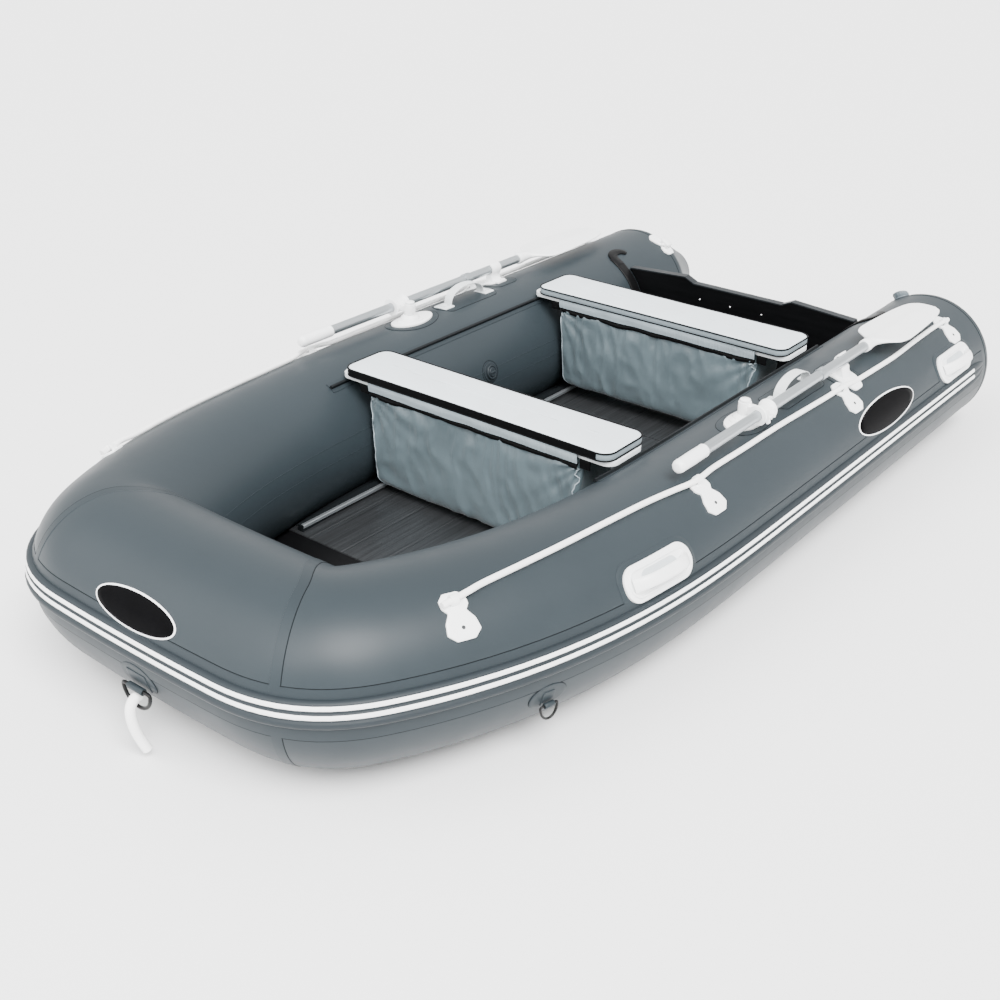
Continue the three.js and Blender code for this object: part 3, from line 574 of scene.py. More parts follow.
def catmull(ctrl, n):
    # centripetal Catmull-Rom through the control points, evenly resampled
    C = [np.asarray(c, float) for c in ctrl]
    C = [2 * C[0] - C[1]] + C + [2 * C[-1] - C[-2]]
    out = []
    for i in range(1, len(C) - 2):
        p0, p1, p2, p3 = C[i - 1], C[i], C[i + 1], C[i + 2]
        t0 = 0.0
        t1 = t0 + max(np.linalg.norm(p1 - p0), 1e-6) ** 0.5
        t2 = t1 + max(np.linalg.norm(p2 - p1), 1e-6) ** 0.5
        t3 = t2 + max(np.linalg.norm(p3 - p2), 1e-6) ** 0.5
        for t in np.linspace(t1, t2, 24, endpoint=False):
            a1 = (t1 - t) / (t1 - t0) * p0 + (t - t0) / (t1 - t0) * p1
            a2 = (t2 - t) / (t2 - t1) * p1 + (t - t1) / (t2 - t1) * p2
            a3 = (t3 - t) / (t3 - t2) * p2 + (t - t2) / (t3 - t2) * p3
            b1 = (t2 - t) / (t2 - t0) * a1 + (t - t0) / (t2 - t0) * a2
            b2 = (t3 - t) / (t3 - t1) * a2 + (t - t1) / (t3 - t1) * a3
            out.append((t2 - t) / (t2 - t1) * b1 + (t - t1) / (t2 - t1) * b2)
    out.append(C[-2])
    out = np.array(out)
    L = np.concatenate([[0], np.cumsum(np.linalg.norm(np.diff(out, axis=0), axis=1))])
    u = np.linspace(0, L[-1], n)
    return np.stack([np.interp(u, L, out[:, k]) for k in range(3)], -1), float(L[-1])


RUN = [[-690, 56, 13.5], [-664, 58, 13.5], [-630, 60.5, 12.5], [-600, 63, 8.6], [-500, 67, 8.2], [-380, 70, 8.2], [-217, 72, 8.2], [-100, 71.5, 8.2], [0, 69, 8.4], [40, 67, 12.8], [76, 66.5, 13.5], [112, 67, 12.8], [150, 68, 8.6], [300, 67.5, 8.2], [468, 67, 8.2], [640, 65.5, 8.2], [750, 64.5, 8.4], [790, 64, 12.8], [826, 63.5, 13.5], [862, 63, 12.8], [900, 62.5, 8.6], [1030, 61.5, 8.2], [1156, 61, 8.2], [1300, 62, 8.2], [1450, 62.5, 8.6], [1490, 62, 12.8], [1524, 61.5, 13.5], [1548, 61, 13.5]]
for side, g in (("port", 1), ("starboard", -1)):
    ctrl = [surf(s_at(y), phi, r) * np.array([g, 1, 1]) for y, phi, r in RUN]
    P, length = catmull(ctrl, 240)
    ob = cord_curve("grab_rope_" + side, P, 14, "rope")
    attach(ob, "hull")
    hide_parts("grab_line_" + side)
    tuple(to_m(P[0])[0])

bow_pin = surf(0.001, -20, 16)
ctrl = [bow_pin + np.array(v, float) for v in ([0, 5, -20.8], [0, -7, -22.5], [1, -19, -31.5], [4, -26, -50], [8, -26, -76], [13, -22, -102], [19, -17, -123], [27, -11, -144])]
P, length = catmull(ctrl, 60)
ob = cord_curve("painter", P, 24, "rope")
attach(ob, "ring_bow")
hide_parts("painter_rope")
tuple(to_m(P[0])[0])

# ---- air tubes: one smooth skin ----------------------------------
NPH = 120
PH = np.arange(NPH) * 360.0 / NPH
EB = np.array([mitre_bow(R * math.cos(math.radians(p))) for p in PH])
ES = np.array([mitre_side(R * math.cos(math.radians(p))) for p in PH])
for _ in range(2):
    EB = (np.roll(EB, 1) + 2 * EB + np.roll(EB, -1)) / 4 if _ < 0 else EB
SE = 1000.0
bow_b = np.concatenate([np.linspace(0, 0.72, 14, endpoint=False), np.linspace(0.72, 1, 22)])
side_b = np.concatenate([np.linspace(S_M, S_M + 160, 20, endpoint=False), np.linspace(S_M + 160, s_at(CONE_Y) - 20, 44, endpoint=False), np.linspace(s_at(CONE_Y) - 20, S_TIP, 22)])
half = [surf(np.maximum(b * EB, 1e-6), PH, 0) for b in bow_b]
side_rows = []
for b in side_b:
    s = np.where(b < SE, SE - (SE - b) * (SE - ES) / (SE - S_M), b)
    side_rows.append(surf(s, PH, 0))
half[-1] = side_rows[0] = (half[-1] + side_rows[0]) / 2
half = half + side_rows[1:]
tipc = half[-1].mean(0)
_, _, tt = line(S_TIP)
tdir = np.array([math.cos(float(tt)) - 0.30, math.sin(float(tt)), 0.10])
for k in range(1, 9):
    q = math.radians(11 * k)
    half.append(tipc + (side_rows[-1] - tipc) * math.cos(q) + tdir * 16 * math.sin(q))
star = [r * np.array([-1, 1, 1]) for r in half]
tube = loft(list(reversed(star[1:])) + half)
piece("air_tube", tube, "tube", replaces=("tube_bow", "tube_port", "tube_starboard"), angle=50)

# seam bands where the chambers meet, at the cone and along the tube
_e = np.abs((PH + 180.0) % 360.0 - 180.0)
LAP = np.interp(_e, [0, 85, 92, 100, 110, 119, 135, 150, 180], [323, 323, 319, 308, 287, 265, 243, 231, 222])
FW = np.array([1 / max(0.6, 1 + float(curv(LAP[j])) * R * math.cos(math.radians(PH[j]))) for j in range(NPH)])


def seam_s(d):
    # station of the lap, d mm along the surface aft of the band's middle
    return LAP + (d - 12.5) * FW


def ring_band(half, h0, h1, n=6):
    ds = [-half] + [-half + 0.8 + (2 * half - 1.6) * k / n for k in range(n + 1)] + [half]
    rows = [surf(np.maximum(seam_s(d), 0.01), PH, h0 if k in (0, len(ds) - 1) else h1) for k, d in enumerate(ds)]
    return loft([np.array([row[j] for row in rows]) for j in range(NPH)], closed=True)


pair("seam_band", ring_band(12.5, -0.4, 0.8), "seam")
for nm, a in (("b", 12.9),):
    pair("seam_line_" + nm, skin_line(seam_s(a), PH, 1.6, 0.8, closed=True), "seamline")
for nm, y0 in (("cone", 1698),):
    s0 = s_at(y0)
    st = [s0 + d for d in (-13, -12.4, 0, 12.4, 13)]
    rings = [surf(st[k], PH, h) for k, h in ((0, -0.4), (1, 0.8), (2, 0.9), (3, 0.8), (4, -0.4))]
    inner = [surf(st[k], PH, -0.8) for k in (4, 0)]
    pair("cone_band", loft(rings + inner, closed=True), "seam")
    pair("cone_line", skin_line(np.full(NPH, s0 - 13.4), PH, 1.6, 0.7, closed=True), "seamline")

ALL_S = np.concatenate([-np.linspace(s_at(1660), 560, 46), -np.linspace(548, 14, 46), [0.0], np.linspace(14, 548, 46), np.linspace(560, s_at(1660), 46)])
band = [(44, -0.4), (43.4, 0.9), (-73.4, 0.9), (-74, -0.4)]
piece("fender_band", sweep_skin(band, 10.6, ALL_S), "seam")
for nm, a in (("upper", 44.6), ("lower", -74.6)):
    piece("fender_line_" + nm, skin_line(ALL_S, np.full(len(ALL_S), 10.6 + a / R * 180 / math.pi), 1.6, 0.8), "seamline")

# inner side seam of the long tubes
st = np.linspace(S_M + 200, s_at(1370), 70)
pair("inner_seam", skin_line(st, np.full(70, 163.0), 2.4, 0.7), "seam")
st2 = np.linspace(S_M + 200, s_at(1370), 70)
pair("inner_seam_low", skin_line(st2, np.full(70, 176.0), 2.4, 0.6), "seam")

# ---- rubbing strake with its two stripes --------------------------
prof = [(24, 0.2), (23.2, 4), (21, 8.5), (17.5, 11.8), (13.5, 13.2), (9.5, 13.6), (5.5, 13.1), (3, 11.6), (1.6, 10.4), (0, 10), (-1.6, 10.4), (-3, 11.6), (-5.5, 13.1), (-9.5, 13.6), (-13.5, 13.1), (-17, 11.4), (-19, 11.2), (-21, 12.6), (-24, 14.6), (-28, 15.2), (-32, 14.2), (-35.5, 11.5), (-38, 7.5), (-39.4, 3.5), (-40, 0.2)]
piece("strake_body", sweep_skin(prof, 10.6, ALL_S, fade=3), "strake", replaces=("rubbing_strake",))
S_STR = ALL_S[2:-2]
for nm, c in (("upper", 9.5), ("lower", -9.5)):
    bead = [(c + 5.0, 12.4), (c + 4.6, 13.6), (c + 2.5, 14.4), (c, 14.7), (c - 2.5, 14.4), (c - 4.6, 13.6), (c - 5.0, 12.4)]
    piece("stripe_" + nm, sweep_skin(bead, 10.6, S_STR), "stripe")

# ---- generic oval badges: black field, white rim -------------------
for nm, s0, phi0, a, b in (("bow", -8.0, 28.6, 131.0, 42.0), ("port", s_at(965), 30.2, 179.0, 47.0)):
    def at(p, s0=s0, phi0=phi0):
        V, F = p
        V = np.asarray(V, float)
        f = 1 / (1 + float(curv(abs(s0))) * R * math.cos(math.radians(phi0)))
        W = surf(s0 + V[:, 0] * f, phi0 + V[:, 1] / R * 180 / math.pi, V[:, 2])
        return W, outward(W, F)
    rim = at(plate(ellipse(a, b, 96), -0.3, 1.0, 0.5))
    field = at(plate(ellipse(a - 4.5, b - 4.5, 96), 0.2, 1.5, 0.4))
    piece("badge_rim_" + nm, rim, "stripe")
    piece("badge_field_" + nm, field, "badge")
    if nm == "port":
        piece("badge_rim_starboard", mirror(rim), "stripe")
        piece("badge_field_starboard", mirror(field), "badge")

# ---- seat rails ----------------------------------------------------
st = np.concatenate([np.linspace(s_at(-57), s_at(-20), 6), np.linspace(s_at(0), s_at(1110), 50)])
rail = [(17, 0.2), (16.6, 2.0), (5.5, 2.8), (3.2, 4.0), (3.4, 5.6), (4.2, 8), (3.2, 10.4), (0, 11.2), (-3.2, 10.4), (-4.2, 8), (-3.4, 5.6), (-3.2, 4.0), (-5.5, 2.8), (-16.6, 2.0), (-17, 0.2)]
base = [(17, 0.2), (16.6, 1.8), (8, 2.2), (-8, 2.2), (-16.6, 1.8), (-17, 0.2)]
rib = [(5.2, 1.6), (3.2, 4.0), (3.4, 5.6), (4.2, 8), (3.2, 10.4), (0, 11.2), (-3.2, 10.4), (-4.2, 8), (-3.4, 5.6), (-3.2, 4.0), (-5.2, 1.6)]
pair("rail", sweep_skin(rib, 123, st), "rail", replaces=("seat_rail",))
pair("rail_base", sweep_skin(base, 123, st), "seam")

# ---- transom flanges ------------------------------------------------
arc = []
for k in range(61):
    arc.append(((115 + 115 * k / 60 - 123) * math.pi / 180 * R, 4.5 if 1 < k < 59 else 3.2))
for k in range(60, -1, -1):
    arc.append(((115 + 115 * k / 60 - 123) * math.pi / 180 * R, 0.6))
st = [s_at(y) for y in (1377, 1379, 1390, 1402, 1413, 1418, 1420)]
rings = [surf(s, 123 + np.array([q[0] for q in arc]) / R * 180 / math.pi, np.array([q[1] if 0 < i < 6 or q[1] < 1 else q[1] - 1.4 for q in arc])) for i, s in enumerate(st)]
pair("flange", loft(rings), "black", replaces=("transom_flange",))

hook = np.array([[1398.5, 124], [1398.5, 119], [1401, 114.5], [1408, 111.6], [1419, 109.8], [1432, 109], [1446, 109.2], [1459, 110.4], [1470, 112.6], [1477, 115.6]])
u = np.linspace(0, 1, 46)
k_ = np.linspace(0, 1, len(hook))
hy, hp = smooth_pchip(k_, hook[:, 0], u), np.interp(u, k_, hook[:, 1])
P, N = surf([s_at(y) for y in hy], hp, 0.0), surf([s_at(y) for y in hy], hp, 1.0) - surf([s_at(y) for y in hy], hp, 0.0)
rings = []
for i in range(len(P)):
    t_ = P[min(i + 1, 45)] - P[max(i - 1, 0)]
    t_ /= np.linalg.norm(t_)
    b_ = np.cross(N[i], t_)
    b_ /= np.linalg.norm(b_)
    hw_ = 20.5 - 9.5 * u[i] if u[i] < 0.9 else (20.5 - 9.5 * u[i]) * math.sqrt(max(0.04, 1 - ((u[i] - 0.9) / 0.1) ** 2))
    rings.append(np.array([P[i] + b_ * a + N[i] * h for a, h in ((-hw_, 0.4), (-hw_, 4.4), (-hw_ + 1.6, 5.6), (0, 6.0), (hw_ - 1.6, 5.6), (hw_, 4.4), (hw_, 0.4))]))
pair("flange_hook", loft(rings), "black")

# ---- grab-line patches ----------------------------------------------
PATCH = [[-664, 50], [76, 56], [826, 57], [1524, 56]]
outl = soften([[-17, 50], [17, 50], [31, 36], [31, 18], [21, 6], [34, -14], [38, -38], [20, -54], [-20, -54], [-38, -38], [-34, -14], [-21, 6], [-31, 18], [-31, 36]], 3)
outl2 = [[-12, 8], [12, 8], [12, -8], [-12, -8]]
for i, (y, phi) in enumerate(PATCH, 1):
    s0 = s_at(y)
    pair("line_patch_v%d" % i, wrap(plate(outl, 0.3, 5, 1.6, step=6), s0, phi), "white", replaces=("line_patch_%d" % i,))
    # saddle over the rope and one screw recess
    dphi = 8 if i == 1 else (11 if i == 2 else (7 if i == 3 else 6))
    v0 = math.radians({1: 8, 2: 10.5, 3: 6.5, 4: 5.5}[i]) * R
    sad = []
    for k in range(9):
        q = math.pi * k / 8
        sad.append([(u, v0 + 10.5 * math.cos(q), 4.2 + 17.2 * math.sin(q) ** 0.7) for u in (-9, 9)])
    rings = []
    for u in (-9, -8.2, 8.2, 9):
        r = []
        for k in range(13):
            q = math.pi * k / 12
            r.append((u, v0 + (10.6 + (0.0 if abs(u) > 8.5 else 0.8)) * math.cos(q), 4.0 + (17.6 + (0.0 if abs(u) > 8.5 else 0.8)) * max(math.sin(q), 0) ** 0.6))
        for k in range(12, -1, -1):
            q = math.pi * k / 12
            r.append((u, v0 + 7.9 * math.cos(q), 4.0 + 15.2 * max(math.sin(q), 0) ** 0.6))
        rings.append(np.array(r))
    pair("line_saddle_%d" % i, wrap(loft(rings), s0, phi), "white")
    scr = []
    for v in (-28, 24 if i != 2 else 20):
        V, F = lathe([(0, 5.0), (3.6, 5.0), (4.2, 5.6), (3.4, 6.2), (2.2, 5.5), (0, 5.3)], 20)
        V = V + np.array([0, v, 0])
        scr.append((V, F))
    # the recess is a dark disc: painted shade inside it
    pair("line_screw_%d" % i, wrap(join(*scr[:1]), s0, phi), "hole")

# lifting eye on the starboard quarter, over the top of the cone
sf = join(wrap(plate(outl, 0.3, 5, 1.6, step=6), s_at(1692), 121), wrap(rbox(-17, 17, -9, 26, 3.5, 24, 6, 4), s_at(1692), 121), wrap(rbox(-26, 26, 4, 14, 3.5, 15, 4, 4), s_at(1692), 121))
piece("quarter_eye_s", mirror(sf), "white")

# ---- carry handles ----------------------------------------------------
def superring(a, b, n=28, e=2.6):
    q = np.arange(n) * 2 * math.pi / n
    return np.stack([a * np.sign(np.cos(q)) * np.abs(np.cos(q)) ** (2 / e), b * np.sign(np.sin(q)) * np.abs(np.sin(q)) ** (2 / e)], -1)


for nm, y, phi in (("bow", -190, 30), ("stern", 1450, 29)):
    s0 = s_at(y)
    base = plate(round_rect(232, 86, 40, 10), 0.3, 7, 3.0, step=7)
    rim_o = densify(round_rect(204, 60, 29, 10), 6)
    rim = path_tube(np.concatenate([rim_o, np.full((len(rim_o), 1), 7.0)], 1), 7.0, 12, closed=True)
    rings = []
    for u in np.linspace(-90, 90, 41):
        e = abs(u) / 90
        w = 6.0 + 28.5 * (1 - e ** 3.4)
        slope = -28.5 * 3.4 * e ** 2.4 / 90 * np.sign(u)
        n2 = np.array([-slope, 1.0]) / math.hypot(slope, 1)
        sec = superring(8.0 + 2.0 * e ** 4, 13.2 + 5 * e ** 6)
        rings.append(np.array([(u + n2[0] * a, b - 1, w + n2[1] * a) for a, b in sec]))
    bar = loft(rings)
    cup = plate(round_rect(128, 46, 22, 8), 6.2, 7.6, 0.4, step=7)
    pair("handle_%s_v" % nm, wrap(join(base, rim, bar), s0, phi), "white", replaces=("carry_handle_%s" % nm,))
    # the cup beneath the grip bar takes the grey copy of the white: painted shade
    pair("handle_cup_%s" % nm, wrap(cup, s0, phi), "cup")

# ---- D-rings ------------------------------------------------------------
def dring(w, depth, wire):
    path = [(-w / 2 + wire * 1.4, 0), (-w / 4, 0), (0, 0), (w / 4, 0), (w / 2 - wire * 1.4, 0), (w / 2 - wire * 0.3, -wire * 0.4)]
    for k in range(0, 29):
        a = math.pi * k / 28
        path.append((w / 2 * math.cos(a), -wire - (depth - wire) * math.sin(a)))
    path.append((-w / 2 + wire * 0.3, -wire * 0.4))
    P = np.array([(x, 0, z) for x, z in path], float)
    n = len(P)
    rings = []
    for i in range(n):
        t = P[(i + 1) % n] - P[i - 1]
        t /= np.linalg.norm(t)
        q = np.arange(14) * 2 * math.pi / 14
        side = np.array([t[2], 0, -t[0]])
        rings.append(P[i] + wire * (np.outer(np.cos(q), side) + np.outer(np.sin(q), [0, 1, 0])))
    return loft(rings, closed=True)


for nm, s0, phi, w, depth, wire, off, pr, sg in (("bow", 0.001, -20, 90, 48, 4.5, 16, 58, 1), ("port", s_at(-508), -22, 46, 36, 3, 12, 50, 1), ("starboard", s_at(-508), -22, 46, 36, 3, 12, 50, -1)):
    p0 = surf(s0, phi, off)
    t = float(line(s0)[2])
    c, s_ = math.cos(t), math.sin(t)
    rot = lambda V: np.stack([V[:, 0] * c - V[:, 1] * s_, V[:, 0] * s_ + V[:, 1] * c, V[:, 2]], -1) + p0
    V, F = dring(w, depth, wire)
    ring = (rot(V), F)
    # webbing eye wrapped over the ring's bar
    L = w * 0.28
    nseg = 28
    rings = []
    for x in (-L, -L + 0.8, L - 0.8, L):
        q = np.arange(nseg) * 2 * math.pi / nseg
        ro = wire + (3.2 if abs(x) > L - 0.4 else 3.7)
        rings.append(np.stack([np.full(nseg, x), ro * np.cos(q), ro * np.sin(q)], -1))
    rings2 = [np.stack([np.full(nseg, x), (wire + 0.5) * np.cos(q), (wire + 0.5) * np.sin(q)], -1) for x in (L, -L)]
    V, F = loft(rings + rings2, closed=True)
    eye = (rot(V), outward(rot(V), F))
    pad = wrap(plate(ellipse(pr, pr * 0.68, 56), 0.2, 2.2, 0.9, step=6), s0, phi + 4.5)
    pad2 = wrap(plate(round_rect(w * 0.72, pr * 0.9, 5, 5), 1.8, 4.0, 0.9, step=6), s0, phi + 3.0)
    if sg < 0:
        ring, eye, pad, pad2 = mirror(ring), mirror(eye), mirror(pad), mirror(pad2)
    piece("dring_v_" + nm, ring, "steel", body="ring_" + nm, replaces=("dring_" + nm,))
    if nm == "bow":
        piece("chape_v_" + nm, join(eye, pad2), "seam", replaces=("dring_chape_" + nm,))
        piece("chape_pad_" + nm, pad, "seam")
    else:
        piece("chape_v_" + nm, join(eye, pad2, pad), "seam", replaces=("dring_chape_" + nm,))
    pl = patch_line(ellipse(pr + 0.8, (pr + 0.8) * 0.68, 72), s0, phi + 4.5, 1.6, 0.8)
    piece("chape_line_" + nm, mirror(pl) if sg < 0 else pl, "seamline")

# ---- valves -----------------------------------------------------------------
def placed(p, s0, phi):
    return wrap(p, s0, phi)


vs = join(placed(plate(ellipse(30, 30, 48), 0.2, 3.6, 1.5, step=6), s_at(561), 165),
          placed(lathe([(0, 3), (22, 3), (22.4, 6), (21.4, 9), (19.5, 10.2), (17.4, 9.6), (16.6, 8), (14.5, 8), (13.6, 10.5), (12.4, 12), (0, 12.6)], 48), s_at(561), 165),
          placed((rbox(-11, 11, -2.4, 2.4, 11, 15.5, 1.2)), s_at(561), 165))
piece("valve_star_v", mirror(vs), "strake", replaces=("valve_starboard",))
vl = patch_line(ellipse(36, 36, 60), s_at(561), 165, 1.6, 0.8)
piece("valve_star_line", mirror(vl), "seamline")
cap = [(0, 3), (22, 3), (23.6, 5), (24, 9), (24, 19), (23, 22), (20.5, 23.3), (17, 23.6), (16, 22.6), (0, 22.4)]
vp = lathe(cap, 64)
V = vp[0].copy()
rr = np.hypot(V[:, 0], V[:, 1])
k = 1 + 0.035 * np.cos(16 * np.arctan2(V[:, 1], V[:, 0])) * ((rr > 22) & (V[:, 2] > 6) & (V[:, 2] < 21))
V[:, 0] *= k
V[:, 1] *= k
piece("valve_port_v", join(placed(plate(ellipse(28, 28, 48), 0.4, 4.2, 1.5, step=6), s_at(1725), 124), placed((V, vp[1]), s_at(1725), 124)), "edge", replaces=("valve_port",))

# ---- deck ---------------------------------------------------------------------
FLOOR_D = -169.0


def floor_edge():
    ss = np.arange(mitre_side(FLOOR_D), s_at(1400), 6.0)
    x, y, t = line(ss)
    return x + FLOOR_D * np.sin(t), y - FLOOR_D * np.cos(t)


FEX, FEY = floor_edge()


def ribs(y0, y1):
    # raised extruded planking: fine ribs along Y, one flat joint every 118 mm
    xs, zs = [], []
    xmax = float(np.interp(y1, FEY, FEX)) - 3
    x = -xmax
    while x < xmax:
        ph = (x + 1000) % 118.0
        if ph < 5:
            z = 0.25
        elif ph < 7:
            z = 1.3
        else:
            z = 1.3 + (0.10 * math.cos(2 * math.pi * (ph - 7) / 18.5)) - 0.5 * max(0.0, 1 - abs(ph - 44) / 1.6) - 0.5 * max(0.0, 1 - abs(ph - 81) / 1.6)
        xs.append(x)
        zs.append(z)
        x += 1.85
    xs, zs = np.array(xs), np.array(zs)
    order = np.argsort(FEX)
    ylo = np.where(np.abs(xs) > FEX[FEY >= y0].min() - 3, np.interp(np.abs(xs) + 3, FEX, FEY), y0)
    ylo = np.maximum(ylo, y0)
    V, F = [], []
    rows = [0.0, 0.5, 1.0]
    n = len(xs)
    for t in rows:
        for i in range(n):
            V.append((xs[i], ylo[i] + (y1 - ylo[i]) * t, 80.2 + zs[i]))
    for t in rows:
        for i in range(n):
            V.append((xs[i], ylo[i] + (y1 - ylo[i]) * t, 79.6))
    m = len(rows) * n
    for r in range(2):
        for i in range(n - 1):
            a = r * n + i
            F.append((a, a + 1, a + n + 1, a + n))
            F.append((m + a, m + a + n, m + a + n + 1, m + a + 1))
    for i in range(n - 1):
        F.append((i, m + i, m + i + 1, i + 1))
        a = 2 * n + i
        F.append((a, a + 1, m + a + 1, m + a))
    for r in range(2):
        a = r * n
        F.append((a, a + n, m + a + n, m + a))
        a = r * n + n - 1
        F.append((a, m + a, m + a + n, a + n))
    V = np.array(V)
    return V, outward(V, F)


for nm, a, b in (("front", -310.5, 246.5), ("middle", 250.2, 808.4), ("rear", 812.2, 1371.5)):
    piece("deck_ribs_" + nm, ribs(a, b), "deck", angle=80)

# bright lip on each stringer's inner edge
lo_, hi_ = [np.array(v) * 1000 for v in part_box("floor_stringer_port")]
ly = np.linspace(lo_[1] + Y_MID + 4, hi_[1] + Y_MID - 4, 40)
pair("stringer_lip", loft([np.array([(lo_[0] - 0.6, y, hi_[2] - 9), (lo_[0] - 0.9, y, hi_[2] - 1), (lo_[0] + 0.6, y, hi_[2] + 0.9), (lo_[0] + 9, y, hi_[2] + 1.1), (lo_[0] + 10, y, hi_[2] + 0.3), (lo_[0] + 10, y, hi_[2] - 0.6), (lo_[0] + 0.4, y, hi_[2] - 1.2), (lo_[0] + 0.4, y, hi_[2] - 9)]) for y in ly]), "alu")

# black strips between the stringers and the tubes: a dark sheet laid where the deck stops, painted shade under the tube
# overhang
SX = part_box("floor_stringer_port")[1][0] * 1000
yy = np.linspace(-300, 1368, 120)
xo = np.interp(yy, FEY, FEX) - 2.5
ok = xo > SX + 6
rings = [np.array([(SX + 1.5, y, 80.0), (x, y, 80.0), (x, y, 83.0), (x - 2, y, 84.2), (SX + 3, y, 84.2), (SX + 1.5, y, 83.0)]) for x, y in zip(xo[ok], yy[ok])]
pair("deck_edge", loft(rings), "rail")

# ---- transom details --------------------------------------------------------------
for i, (x, z) in enumerate(((-139, 322), (-20, 322), (100, 322))):
    V, F = lathe([(0, -0.5), (2.5, -0.5), (2.6, 0.4), (2.0, 1.3), (0.9, 1.7), (0, 1.8)], 24)
    V = np.stack([V[:, 0] + x, 1425 - V[:, 2], V[:, 1] + z], -1)
    piece("transom_bolt_%d" % (i + 1), (V, outward(V, F)), "stripe")


# ---- benches ------------------------------------------------------------------------
BW, BL, BT, CT = 177.0, 900.0, 439.0, 24.0


def cushion(y0):
    yc = y0 + BW / 2
    zb, zt = BT - CT, BT
    rings = []

    def rr(d, z, r=36.0):
        o = round_rect(BL - 2 * d, BW - 2 * d, max(r - d, 1.2), 10)
        # long sides pull in between the corners
        o = densify_fixed(o)
        x, y = o[:, 0], o[:, 1]
        pull = 3.0 * np.cos(np.clip(x / (BL / 2), -1, 1) * math.pi / 2) * np.sign(y) * np.clip(np.abs(y) / (BW / 2), 0, 1)
        return np.stack([x, y - pull + yc, np.full(len(o), z)], -1)
    rings = [rr(84, zb + 0.2), rr(60, zb + 0.2), rr(30, zb + 0.2), rr(8, zb + 0.3), rr(3.0, zb + 1.0), rr(1.6, zb + 3.0), rr(0.6, zb + 7), rr(0.2, zb + 12), rr(0.6, zt - 7), rr(1.6, zt - 3.2), rr(3.4, zt - 1.6)]
    for d, h in ((6, -0.4), (10, 0.8), (16, 1.8), (24, 2.6), (36, 3.3), (50, 3.8), (66, 4.1), (80, 4.2), (87, 4.2)):
        g = rr(d, zt + h)
        n = vnoise(g[:, 0] / 55.0, g[:, 1] / 45.0, 3) * 0.7 + vnoise(g[:, 0] / 22.0 + 9, g[:, 1] / 24.0, 5) * 0.25
        n += 0.5 * vnoise(g[:, 0] / 14.0, g[:, 1] * 0 + 2, 7) * math.exp(-((d - 12) / 9.0) ** 2)
        g[:, 2] += n * min(1, d / 14)
        rings.append(g)
    return loft(rings)


def densify_fixed(o, long_side=44):
    # same count whatever the inset: long_side - 1 points added along each long side, 11 along each short side
    out = []
    n = len(o)
    seg = n // 4
    for c in range(4):
        arc_ = o[c * seg:(c + 1) * seg]
        out += list(arc_)
        a, b = arc_[-1], o[((c + 1) * seg) % n]
        k = long_side if c in (0, 2) else 12
        for i in range(1, k):
            out.append(a + (b - a) * i / k)
    return np.array(out)


def edge_path(y0, d, z, r=36.0):
    o = densify_fixed(round_rect(BL - 2 * d, BW - 2 * d, max(r - d, 1.2), 10))
    x, y = o[:, 0], o[:, 1]
    pull = 3.0 * np.cos(np.clip(x / (BL / 2), -1, 1) * math.pi / 2) * np.sign(y) * np.clip(np.abs(y) / (BW / 2), 0, 1)
    return np.stack([x, y - pull + y0 + BW / 2, np.full(len(o), z)], -1)


